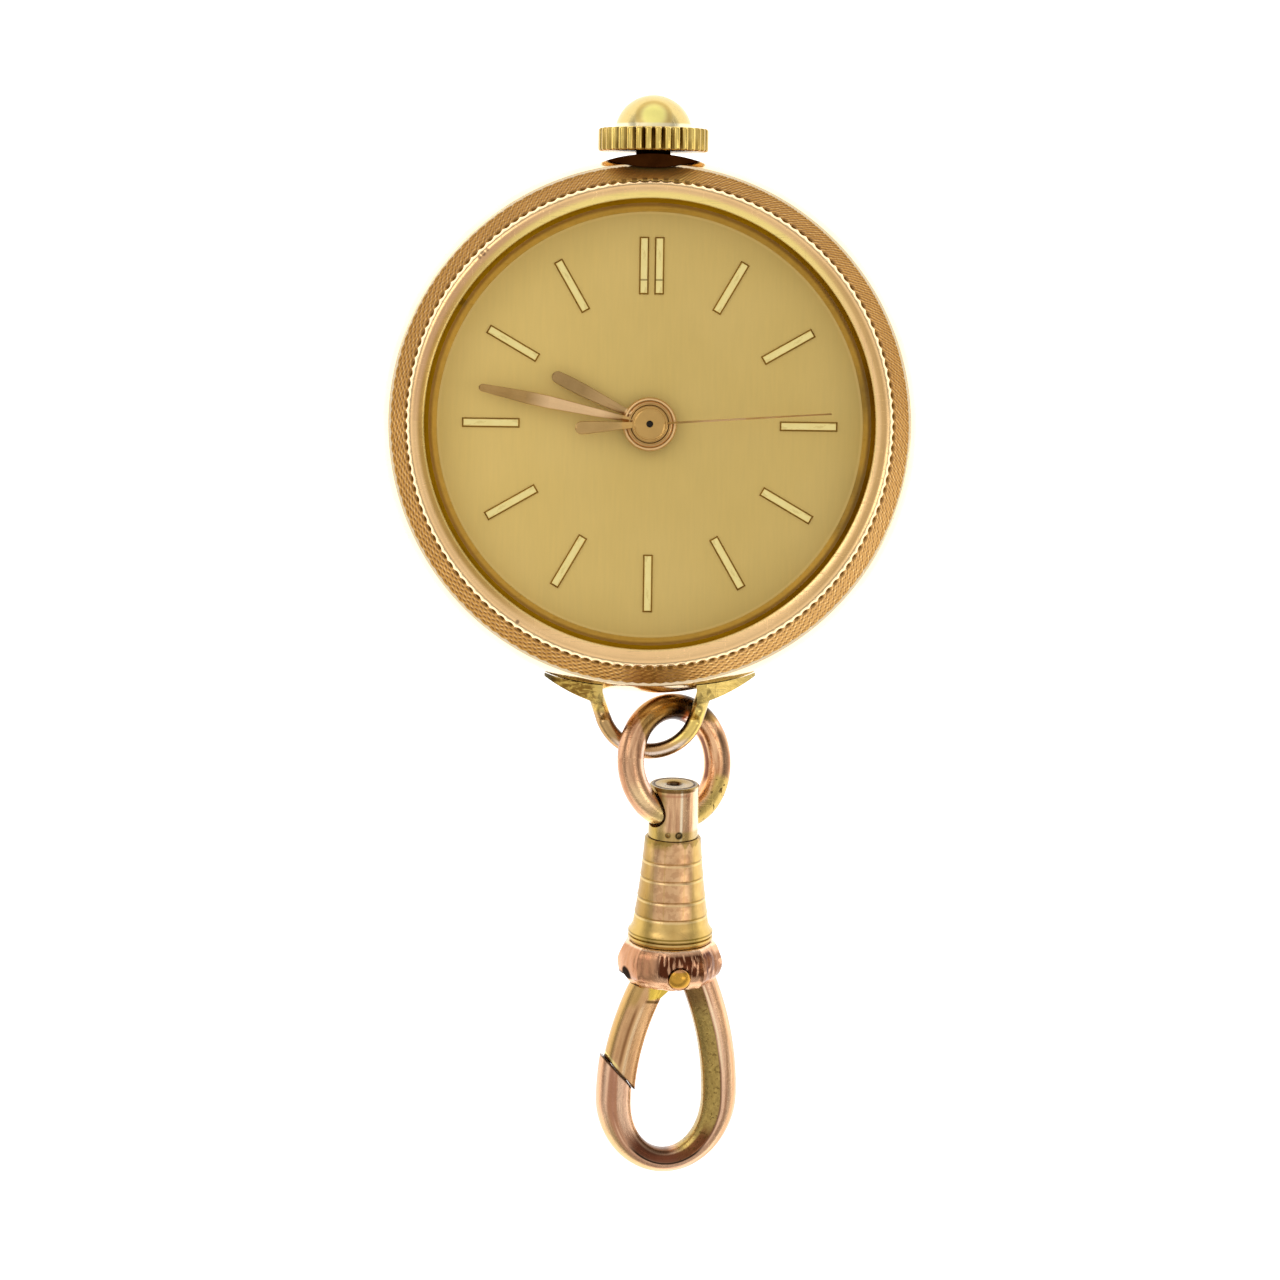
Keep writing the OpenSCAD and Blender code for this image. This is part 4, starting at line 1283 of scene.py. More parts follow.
# %% [markdown]
# The jump ring is one turn of thick wire, a little squared where it was closed and filed. It leans over
# with its left side up. Its finish changes all the way round: brown and olive above, where it is in the
# shade of the case, rose on the left, and yellow below with small pits.

# %% Jump ring
RING_R = 2.89
RING_HALF = 0.69
RING_POWER = 2.25
RING_TILT = -4.1
RING_TURN = 38.3
RING_SIDES = 40
RING_WEAR = 0.02
RING_AT = (1.51, -(case_r + 3.56), band_mid - 0.74)


def squared(angle, power):
    """A point on a circle that is pushed towards a square."""
    x = math.cos(angle)
    y = math.sin(angle)
    return math.copysign(abs(x) ** (2 / power), x), math.copysign(abs(y) ** (2 / power), y)


ring_place = (
    Matrix.Translation(RING_AT)
    @ Matrix.Rotation(math.radians(RING_TILT), 4, "X")
    @ Matrix.Rotation(math.radians(RING_TURN), 4, "Y")
)
ring_up = ring_place.to_3x3().inverted() @ Vector((0, 0, 1))
wire = [squared(math.tau * i / RING_SIDES, RING_POWER) for i in range(RING_SIDES)]
loop_bm = turned([(RING_R + RING_HALF * x, RING_HALF * y) for x, y in wire], steps=180)
across_layer = loop_bm.verts.layers.float.new("across")
for vert in loop_bm.verts:
    ripple = noise.noise(vert.co * 1.1) * 0.5 - 0.5
    core = Vector((vert.co.x, vert.co.y, 0)).normalized() * RING_R
    offset = vert.co - core
    sideways = core.cross(Vector((0, 0, 1))).cross(ring_up).normalized()
    vert[across_layer] = offset.dot(sideways) / RING_HALF
    vert.co += offset.normalized() * RING_WEAR * ripple


def ring_gold():
    finish = Finish("ring_gold")
    angle = finish.angle()
    across = finish.attribute("across")
    cloud = finish.grain(0.9, 3)
    streak_where = finish.node("CombineXYZ", sockets={0: across * 1.6, 1: finish.z * 0.8, 2: angle * 0.012})
    streak = finish.grain(0.5, 3, streak_where, 0.3)
    rose = finish.mix(finish.rise(streak, 0.3, 0.7), (172, 122, 88), (228, 180, 138))
    # Painted highlight along the outer edge of the wire.
    finish.colour = finish.mix(finish.between(across, 0.78, 1.2, 0.08) * 0.5, rose, (255, 232, 214))
    swung = angle + (1 - finish.rise(angle, -100, -90)) * 360
    # Painted highlight on the lower left of the ring.
    low_left = finish.between(swung, 206, 236, 10) * finish.between(across, -0.5, 0.4, 0.2)
    finish.coat(low_left * 0.8, (248, 212, 158))
    end = finish.rise(swung, 230, 246)
    finish.coat(end * 0.85, (255, 222, 146))
    right = finish.between(angle, -88, 56, 4)
    tan = finish.mix(finish.rise(streak, 0.35, 0.65), (192, 134, 90), (246, 194, 146))
    finish.coat(right, tan)
    # Painted shade along the outer edge of the right arm.
    outer_dark = finish.between(across, 0.66, 0.94, 0.06) * finish.between(angle, -24, 44, 8)
    finish.coat(outer_dark * 0.9, (98, 52, 38))
    inner_grey = finish.between(across, -0.92, -0.42, 0.12) * finish.between(angle, -16, 36, 6)
    finish.coat(inner_grey * 0.8, (112, 86, 64))
    low_right = finish.between(angle, -84, -14, 5) * finish.rise(across, 0.35, -0.2)
    olive = finish.mix(cloud, (170, 144, 66), (222, 192, 112))
    finish.coat(low_right * 0.9, olive)
    pits = finish.rise(finish.grain(0.26, 1), 0.64, 0.7) * low_right
    finish.coat(pits * 0.85, (66, 46, 14))
    # Painted shade: the top of the ring, in the shade of the case, is brown, darker at its outer edge and
    # near black at the top.
    top = finish.between(angle - across * 14 + (cloud - 0.5) * 24, 56, 148, 3)
    brown = finish.mix(finish.rise(streak, 0.35, 0.65), (132, 92, 36), (198, 154, 86))
    finish.coat(top * 0.95, brown)
    shade = finish.rise(across, 0.55, 0.85) * top
    finish.coat(shade * 0.85, (54, 26, 4))
    dark_top = finish.between(angle - across * 10, 58, 98, 9)
    finish.coat(dark_top * 0.92, (34, 14, 4))
    # Painted reflection: an amber streak and a reddish patch, with a small painted highlight in the red.
    amber = finish.between(angle, 112, 130, 4) * finish.between(across, 0.0, 0.45, 0.12)
    finish.coat(amber * 0.75, (206, 140, 56))
    red = finish.between(angle, 70, 84, 5) * finish.between(across, 0.2, 0.9, 0.2)
    finish.coat(red * 0.75, (176, 96, 50))
    shine = finish.between(angle, 74, 80, 2) * finish.between(across, 0.55, 0.8, 0.08)
    finish.coat(shine * 0.9, (255, 236, 220))
    return worn(finish, 0.24, scratches=1.2, relief=0.004)


settle("jump_ring_worn", loop_bm, "watch", ring_gold(), ["jump_ring"], ring_place)

# %% [markdown]
# ## The swivel and its barrel
# Down the clip everything shares one sloping frame: its origin is the eye's flat top, the clip runs down
# the negative Z axis and the negative Y side faces up. The eye is a short rod with a cross hole for the
# ring. Below it the stud hides in the barrel and ends in a head, which lets the clip turn.

# %% The clip's frame
EYE_TOP = (1.53, -(case_r + 4.7), band_mid - 0.05)
CLIP_SLOPE = 14.84
CLIP_LEAN = 0.77
CLIP_ROLL = 12.0
clip_place = (
    Matrix.Translation(EYE_TOP)
    @ Matrix.Rotation(math.radians(-CLIP_LEAN), 4, "Z")
    @ Matrix.Rotation(math.radians(CLIP_SLOPE - 90), 4, "X")
)
hook_place = clip_place @ Matrix.Rotation(math.radians(CLIP_ROLL), 4, "Z")
print("clip runs towards", [round(part, 3) for part in clip_place.to_3x3() @ Vector((0, 0, -1))])

# %% Swivel eye
EYE_R = 1.3
EYE_LOW = -2.79
STUD_R = 0.6
HEAD_R = 1.0
HEAD_AT = -6.1
STUD_END = -6.6
HOLE_R = 0.82
DIMPLE_R = 0.4
DIMPLE_DEEP = 0.3
PIT_R = 0.12
PIT_Z = EYE_LOW + 0.31

eye_profile = [
    (0, -DIMPLE_DEEP),
    (DIMPLE_R * 0.5, -DIMPLE_DEEP),
    (DIMPLE_R - 0.06, -0.12),
    (DIMPLE_R, -0.04),
    (DIMPLE_R + 0.06, 0),
    (EYE_R - 0.28, 0),
    (EYE_R - 0.24, -0.04),
    (EYE_R - 0.2, 0),
    (EYE_R - 0.06, 0),
    (EYE_R, -0.06),
    (EYE_R, EYE_LOW),
    (STUD_R, EYE_LOW),
    (STUD_R, HEAD_AT),
    (HEAD_R, HEAD_AT),
    (HEAD_R, STUD_END),
    (0, STUD_END),
]
eye_bm = turned(eye_profile, steps=128, open_ends=True)
hole_bm = turned([(RING_R + x, y) for x, y in arc((0, 0), HOLE_R, 0, 350, 35)], steps=96)
bmesh.ops.transform(hole_bm, matrix=clip_place.inverted() @ ring_place, verts=hole_bm.verts)
eye_bm = combine(eye_bm, hole_bm, "DIFFERENCE")
for turn in (-12, 14):
    pit = rod(PIT_R, 0.4, (0, 0, 0), "Y", 16)
    bmesh.ops.translate(pit, vec=(0, -EYE_R, PIT_Z), verts=pit.verts)
    bmesh.ops.rotate(pit, cent=(0, 0, 0), matrix=Matrix.Rotation(math.radians(turn), 3, "Z"), verts=pit.verts)
    eye_bm = combine(eye_bm, pit, "DIFFERENCE")


def eye_gold():
    finish = Finish("eye_gold")
    cloud = finish.grain(0.8, 3)
    rub = finish.grain(0.4, 3, finish.stretch(2.4, 2.4, 0.25))
    finish.colour = finish.mix(finish.rise(rub, 0.3, 0.7), (188, 140, 102), (232, 186, 140))
    left = finish.rise(finish.x, -0.3, -0.62)
    finish.coat(left * 0.8, (226, 192, 120))
    far_left = finish.rise(finish.x, -0.72, -0.9)
    finish.coat(far_left * 0.85, (168, 138, 60))
    # Painted highlights: a bright stripe down the eye and a bright right edge.
    highlight = finish.between(finish.x, 0.36, 0.48, 0.05)
    finish.coat(highlight * 0.8, (255, 238, 204))
    edge = finish.rise(finish.x, 0.92, 1.12)
    finish.coat(edge * 0.7, (255, 242, 206))
    low = finish.rise(finish.z, EYE_LOW + 0.6, EYE_LOW + 0.35)
    finish.coat(low * (0.4 + cloud * 0.6), (176, 148, 80))
    roof = finish.rise(finish.z, -0.09, -0.02)
    finish.coat(roof * 0.95, (150, 122, 56))
    lip = finish.between(finish.radius(), EYE_R - 0.32, EYE_R - 0.12, 0.04) * roof
    finish.coat(lip * 0.95, (74, 52, 12))
    # Painted shade: the dimple in the top is near black.
    well = (1 - finish.rise(finish.radius(), 0.3, 0.56)) * finish.rise(finish.z, -0.45, -0.25)
    finish.coat(well * 0.95, (26, 14, 4))
    line = finish.between(finish.z, -0.2, -0.05, 0.03) * finish.rise(finish.y, -0.5, -0.9)
    finish.coat(line * 0.85, (96, 68, 18))
    blush = finish.between(finish.z, -0.42, -0.3, 0.04) * finish.between(finish.x, -0.7, 0.8, 0.1)
    finish.coat(blush * 0.5, (176, 112, 80))
    # Browner where the ring passes through the eye, and a dark brown spot by the left edge of the hole.
    brown_patch = finish.between(finish.x, -0.95, -0.34, 0.08) * finish.between(finish.z, -1.95, -0.35, 0.15)
    finish.coat(brown_patch * (0.1 + cloud * 0.5), (112, 76, 18))
    brown_patch = finish.spot((-0.95, -0.9, -0.62), 0.4, 0.2)
    finish.coat(brown_patch * 0.9, (104, 58, 10))
    for x, size in ((-0.27, 0.14), (0.31, 0.2)):
        pit_mark = finish.spot((x, -1.26, PIT_Z), size, 0.05)
        finish.coat(pit_mark * 0.95, (30, 20, 4))
    return worn(finish, 0.24)


settle("swivel_eye_worn", eye_bm, "watch", eye_gold(), ["swivel_eye"], clip_place, sharp=35)

# %% [markdown]
# The barrel tapers out like a skittle and carries four turned grooves, with a double line above the
# collar. The grooves are steps in the profile, deep enough to hold a dark line. Inside is the bore for
# the stud and the chamber for its head.

# %% Clip barrel
BARREL_TOP = -2.82
BARREL_TOP_R = 1.47
BARREL_LOW_R = 1.975
TAPER_END = -7.5
FLARE_AT = -7.9
FLARE_R = 2.215
COLLAR_TOP = -8.45
NOSE_R = 1.0
BORE = 0.64
CHAMBER_R = 1.05
GROOVES = (-4.04, -4.97, -6.08, -7.0)
GROOVE_HALF = 0.07
GROOVE_DEEP = 0.035
GROOVE_LIP = 0.012
BARREL_FOOT = -8.42
NOSE_END = -8.75
CHAMBER_TOP = -6.07
CHAMBER_END = -6.66


def taper_r(z):
    part = (z - (BARREL_TOP - 0.08)) / (TAPER_END - (BARREL_TOP - 0.08))
    return BARREL_TOP_R + (BARREL_LOW_R - BARREL_TOP_R) * part - 0.05 * math.sin(math.pi * part)


barrel_profile = [(BORE, BARREL_TOP), (BARREL_TOP_R - 0.07, BARREL_TOP), (BARREL_TOP_R, BARREL_TOP - 0.08)]
z = BARREL_TOP - 0.3
for groove in GROOVES:
    while z > groove + 0.15:
        barrel_profile.append((taper_r(z), z))
        z -= 0.25
    barrel_profile += [
        (taper_r(groove) + GROOVE_LIP, groove + GROOVE_HALF + 0.02),
        (taper_r(groove) - GROOVE_DEEP, groove + 0.02),
        (taper_r(groove) - GROOVE_DEEP, groove - 0.02),
        (taper_r(groove) + GROOVE_LIP, groove - GROOVE_HALF - 0.02),
    ]
    z = groove - 0.3
barrel_profile += [
    (BARREL_LOW_R, TAPER_END),
    (FLARE_R - 0.1, FLARE_AT + 0.12),
    (FLARE_R, FLARE_AT),
    (FLARE_R, FLARE_AT - 0.15),
    (FLARE_R - 0.08, FLARE_AT - 0.19),
    (FLARE_R - 0.08, FLARE_AT - 0.23),
    (FLARE_R, FLARE_AT - 0.27),
    (FLARE_R, BARREL_FOOT + 0.15),
    (FLARE_R - 0.08, BARREL_FOOT),
    (NOSE_R, BARREL_FOOT),
    (NOSE_R, NOSE_END),
    (0, NOSE_END),
    (0, CHAMBER_END),
    (CHAMBER_R, CHAMBER_END),
    (CHAMBER_R, CHAMBER_TOP),
    (BORE, CHAMBER_TOP),
]
barrel_bm = turned(barrel_profile, steps=192)


def barrel_gold():
    finish = Finish("barrel_gold")
    cloud = finish.grain(0.55, 3)
    mottle = finish.grain(0.3, 2)
    rose = finish.mix(cloud, (206, 156, 108), (234, 192, 144))
    yellow = finish.mix(cloud, (186, 150, 76), (222, 190, 110))
    side = finish.rise(abs(finish.x), 0.8, 1.25)
    left = finish.rise(finish.x, -0.95, -1.35)
    low = finish.rise(finish.z, -6.9, -7.2)
    finish.colour = finish.mix(side * 0.75, rose, yellow)
    finish.coat(left * 0.7, (150, 114, 54))
    finish.coat(low * 0.75, yellow)
    top = finish.rise(finish.z, -3.35, -3.1) * finish.rise(finish.x, 0.1, -0.5)
    finish.coat(top * 0.7, (170, 140, 66))
    drip = (finish.grain(0.4, 2, finish.stretch(1, 1, 0.4)) - 0.5) * 1.1
    ragged = finish.rise(finish.z + drip, -3.12, -3.0)
    finish.coat(ragged * 0.7, (142, 116, 48))
    patch = finish.rise(mottle, 0.46, 0.58) * (1 - side) * (1 - low)
    finish.coat(patch * 0.4, (178, 126, 86))
    for at in (-1.02, -0.42, 0.62, 1.1):
        facet = finish.between(finish.x, at, at + 0.06, 0.03) * (1 - low)
        finish.coat(facet * 0.35, (184, 152, 78))
    for groove in GROOVES:
        dark = finish.between(finish.z, groove + 0.0, groove + 0.1, 0.04)
        finish.coat(dark * (0.35 + side * 0.45), (140, 112, 40))
        # Painted highlight on the lip below each groove.
        pale = finish.between(finish.z, groove - 0.12, groove - 0.03, 0.03)
        finish.coat(pale * 0.4, (248, 222, 160))
    for line in (FLARE_AT - 0.21, FLARE_AT - 0.02):
        double = finish.between(finish.z, line - 0.04, line + 0.04, 0.02)
        finish.coat(double * 0.8, (126, 98, 20))
    foot = finish.rise(finish.z, -8.24, -8.36)
    finish.coat(foot * 0.7, (150, 118, 40))
    for x, at in ((-0.95, -7.3), (-1.2, -3.9)):
        mark = finish.spot((x, -1.5, at), 0.16, 0.08)
        finish.coat(mark * 0.7, (110, 82, 16))
    return worn(finish, 0.3, smudges=0.8)


barrel_skin = barrel_gold()
settle("barrel_grooved", barrel_bm, "clip", barrel_skin, ["clip_barrel"], clip_place, sharp=28)

# %% [markdown]
# ## Collar, hook and gate
# The collar is the hook's head. It was hammered round the barrel, so it is lobed and dented, with
# upright tool marks. It is turned, then its points are moved by nine flats and a little noise, and last
# the room for the gate's tail and the socket for the barrel's nose are cut.

# %% Collar
COLLAR_R = 2.8
COLLAR_ROUND = 1.55
COLLAR_LOW = -10.7
COLLAR_MID = -9.55
COLLAR_CORE = 1.3
DENT_DEEP = 0.08
TOOL_DEEP = 0.04
FLATS = 9
FLAT_TURN = 0.35
FLAT_SHARE = 0.75
SLOT_HALF = 0.55
SLOT_OUTLINE = [(-0.7, -9.2), (1.2, -9.9), (1.2, -10.95), (-6, -10.95), (-6, -10.12), (-1.55, -10.12)]
TAIL_R = 0.95
TAIL_ROOM = 0.1
HEAD_ROOM = 0.68
HEAD_SEAT = 2.58
PIVOT = -9.9
RIVET_R = 0.4

upper_turn = math.degrees(math.asin((COLLAR_TOP - COLLAR_MID) / COLLAR_ROUND))
lower_turn = math.degrees(math.asin((COLLAR_LOW - COLLAR_MID) / COLLAR_ROUND))
collar_profile = [(0, COLLAR_TOP)] + arc(
    (COLLAR_R - COLLAR_ROUND, COLLAR_MID), COLLAR_ROUND, upper_turn, lower_turn, 16
)
collar_profile.append((0, COLLAR_LOW))
collar_bm = ease(turned(collar_profile, steps=160, open_ends=True), 0.1, 35, 3)
for vert in collar_bm.verts:
    outward, away, turn = round_axis(vert)
    if away < COLLAR_CORE:
        continue
    part = (turn + FLAT_TURN) % (math.tau / FLATS) - math.pi / FLATS
    flats = COLLAR_R * FLAT_SHARE * (math.cos(math.pi / FLATS) / math.cos(part) - 1)
    dents = (noise.noise(Vector((turn * 2.6, vert.co.z * 1.4, 0.3))) - 0.5) * DENT_DEEP
    tool = noise.noise(Vector((turn * 14, vert.co.z * 0.8, 5))) * TOOL_DEEP
    vert.co += outward * (flats + dents + tool)
    if vert.co.z < COLLAR_MID - 0.7:
        vert.co.z += 0.12 * (0.5 + 0.5 * noise.noise(Vector((turn * 3.2, 1, 2))))


def cut_room(bm):
    """Cuts the room for the gate's tail and the hole for the rivet's pin."""
    bm = combine(bm, plate(SLOT_OUTLINE, SLOT_HALF), "DIFFERENCE")
    bm = combine(bm, rod(TAIL_R + TAIL_ROOM, 2 * SLOT_HALF - 0.002, (0, 0, PIVOT), "Y"), "DIFFERENCE")
    return combine(bm, rod(RIVET_R + 0.015, 12, (0, 0, PIVOT), "Y"), "DIFFERENCE")


collar_bm = combine(cut_room(collar_bm), rod(NOSE_R + 0.03, 1, (0, 0, -8.28)), "DIFFERENCE")
for side in (-1, 1):
    seat = rod(HEAD_ROOM, 2, (0, side * (HEAD_SEAT + 1), PIVOT), "Y")
    collar_bm = combine(collar_bm, seat, "DIFFERENCE")


def collar_gold():
    finish = Finish("collar_gold")
    cloud = finish.grain(0.9, 3)
    angle = finish.angle()
    where = finish.node("CombineXYZ", sockets={0: angle * 0.13, 1: finish.z * 0.5, 2: finish.radius() * 0.3})
    upright = finish.grain(0.5, 3, where)
    finish.colour = finish.mix(cloud, (206, 150, 112), (238, 190, 150))
    shaded = finish.rise(finish.x, -0.9, -1.5) * finish.rise(finish.x, -2.78, -2.5)
    finish.coat(shaded * 0.8, (176, 124, 86))
    streaks = finish.rise(upright, 0.4, 0.5)
    centre = finish.between(angle, -118, -34, 6)
    high = finish.between(finish.z, -9.85, -8.68, 0.1)
    finish.coat(centre * high * (0.2 + streaks * 0.8), (84, 42, 24))
    mottle = finish.rise(finish.grain(0.45, 3), 0.34, 0.5)
    right = finish.rise(finish.x, 0.9, 1.4) * mottle * finish.between(finish.z, -10.2, -8.9, 0.15)
    finish.coat(right * 0.75, (126, 78, 44))
    left = finish.between(angle, -150, -124, 6) * finish.between(upright, 0.42, 0.5, 0.05)
    finish.coat(left * 0.5, (176, 116, 88))
    # Painted highlight round the top rim of the collar.
    rim = finish.rise(finish.z, -8.62, -8.5)
    finish.coat(rim * 0.6, (255, 226, 190))
    low = finish.rise(finish.z, -10.1, -10.4)
    finish.coat(low * 0.75, (240, 196, 154))
    # Painted shade: a near-black spot in the gap at the lower left, and dark painted shade in the slot.
    gap = finish.spot((-2.42, -0.75, -9.98), 0.38, 0.08)
    finish.coat(gap * 0.95, (34, 20, 6))
    slot = finish.rise(abs(finish.y), 0.6, 0.55) * finish.rise(finish.x, 1.3, 1.1)
    slot = slot * finish.rise(finish.z, -9.9, -10.1)
    finish.coat(slot * 0.9, (40, 26, 6))
    return worn(finish, 0.27 + gap * 0.6, relief=0.012, smudges=1.1)


settle("collar_hammered", collar_bm, "clip", collar_gold(), ["hook"], hook_place)

# %% [markdown]
# The hook is a bar bent into a drop shape: both arms are shallow parabolas over a half ellipse. Its
# section is round outside but filed to a slope inside, which is why the photograph shows a sharp line
# down the middle of the right arm. The end is worn thin where the chain hung. The arm's tip and the
# gate meet in an oblique joint, worn to a slight wave, and the same waved block cuts both. A Boolean
# leaves the attributes of its new points empty, so `mend_end` works them out again at the joint.

# %% Hook and gate sections
ARM_W = 1.84
ARM_T = 1.7
END_W = 1.26
HOOK_HALF = 2.83
ARM_BOW = 0.0318
HOOK_MID = 17.0
HOOK_DROP = 3.52
GATE_HALF = 2.66
GATE_BOW = 0.037
GATE_MID = 17.3
GATE_TOP = 10.75
JOINT_AT = Vector((-2.52, 0, -15.68))
JOINT_ANGLE = 47.6
JOINT_HALF_GAP = 0.012
JOINT_REACH = 3.0
JOINT_SLICES = 47
JOINT_WAVE = 0.035
JOINT_WAVE_RATE = 5.0
MEND_REACH = 0.3
FILED_FROM = 0.03
HOOK_START = 9.6
ARM_STEPS = 24
BEND_STEPS = 60
TIP_LENGTH = 3
TIP_STEPS = 12
HOOK_WEAR = 0.02


def filed_section(count=20):
    """Unit section: rounded on its outer half, sloping on its inner half, towards positive x."""
    outer = [squared(math.radians(90 + 180 * i / count), 2.2) for i in range(count + 1)]
    slope = [(0.06, 0.97), (0.3, 0.86), (0.6, 0.69), (0.86, 0.52), (0.97, 0.36), (1.0, 0.18)]
    mirrored = [(x, -y) for x, y in slope]
    return outer + mirrored + [(1.0, 0)] + slope[::-1]


def wire_station(x, down, step, half_w, half_t):
    """A section square to the path at (x, down), where step is the path's direction."""
    inward = Vector((-step[1], 0, -step[0]))
    return station(Vector((x, 0, -down)), inward, Vector((0, -1, 0)), half_w, half_t)


def along_path(points, widths):
    """Stations through points, with each direction taken from its neighbours."""
    last = len(points) - 1
    stations = []
    for i, (x, down) in enumerate(points):
        before = points[max(i - 1, 0)]
        after = points[min(i + 1, last)]
        step = Vector((after[0] - before[0], after[1] - before[1])).normalized()
        stations.append(wire_station(x, down, step, *widths[i]))
    return stations


def joint_cut(bm, side):
    """Cuts away what lies past the oblique, slightly wavy joint: side 1 above it, -1 below it."""
    near = -side * JOINT_HALF_GAP
    low, high = sorted((near, near + side * JOINT_REACH))
    tool = block((-JOINT_REACH, -JOINT_REACH, low), (JOINT_REACH, JOINT_REACH, high))
    slices = [edge for edge in tool.edges if abs((edge.verts[0].co - edge.verts[1].co).x) > JOINT_REACH]
    bmesh.ops.subdivide_edges(tool, edges=slices, cuts=JOINT_SLICES, use_grid_fill=True)
    for vert in tool.verts:
        if abs(vert.co.z - near) < 0.001:
            vert.co.z += JOINT_WAVE * math.sin(vert.co.x * JOINT_WAVE_RATE)
    place = Matrix.Translation(JOINT_AT) @ Matrix.Rotation(math.radians(JOINT_ANGLE), 4, "Y")
    bmesh.ops.transform(tool, matrix=place, verts=tool.verts)
    return combine(bm, tool, "DIFFERENCE")


def past_plane(x, z):
    """Distance above the joint's plane, for numbers and for shader values."""
    turn = math.radians(JOINT_ANGLE)
    return (x - JOINT_AT.x) * math.sin(turn) + (z - JOINT_AT.z) * math.cos(turn)


def mend_end(bm, middle, length_at):
    """Gives the points of the cut end the attributes that the Boolean leaves empty.

    Middle and length_at give the arm's middle line and its length at a distance down the clip.
    """
    layers = bm.verts.layers.float
    for vert in bm.verts:
        if vert.co.x < 0 and abs(past_plane(vert.co.x, vert.co.z)) < MEND_REACH:
            vert[layers["across"]] = (vert.co.x - middle(-vert.co.z)) / (ARM_W / 2)
            vert[layers["upward"]] = -vert.co.y / (ARM_T / 2)
            vert[layers["along"]] = length_at(-vert.co.z)


# %% Hook wire
def hook_middle(down):
    return -(HOOK_HALF - ARM_BOW * (HOOK_MID - down) ** 2)


hook_path = []
for i in range(ARM_STEPS):
    down = HOOK_START + (HOOK_MID - HOOK_START) * i / ARM_STEPS
    hook_path.append((-hook_middle(down), down))
for i in range(BEND_STEPS + 1):
    turn = math.radians(90 - 180 * i / BEND_STEPS)
    hook_path.append((HOOK_HALF * math.sin(turn), HOOK_MID + HOOK_DROP * math.cos(turn)))
for i in range(1, TIP_STEPS + 1):
    down = HOOK_MID - TIP_LENGTH * i / TIP_STEPS
    hook_path.append((hook_middle(down), down))
hook_widths = []
for _, down in hook_path:
    slim = max(0.0, (down - HOOK_MID) / HOOK_DROP) ** 1.5
    hook_widths.append(((ARM_W + (END_W - ARM_W) * slim) / 2, ARM_T / 2 * (1 - 0.06 * slim)))
hook_lengths = [0.0]
for first, second in zip(hook_path, hook_path[1:]):
    hook_lengths.append(hook_lengths[-1] + math.dist(first, second))
hook_bm = drawn(filed_section(), along_path(hook_path, hook_widths), hook_lengths)
for vert in hook_bm.verts:
    dent = noise.noise(vert.co * 0.9) * 0.5 - 0.5
    vert.co += Vector((0, vert.co.y, 0)) * HOOK_WEAR * dent
hook_bm = cut_room(joint_cut(hook_bm, 1))
tip_down = hook_path[-1][1]
mend_end(hook_bm, hook_middle, lambda down: hook_lengths[-1] + tip_down - down)
print(f"hook wire is {hook_lengths[-1]:.1f} mm long")


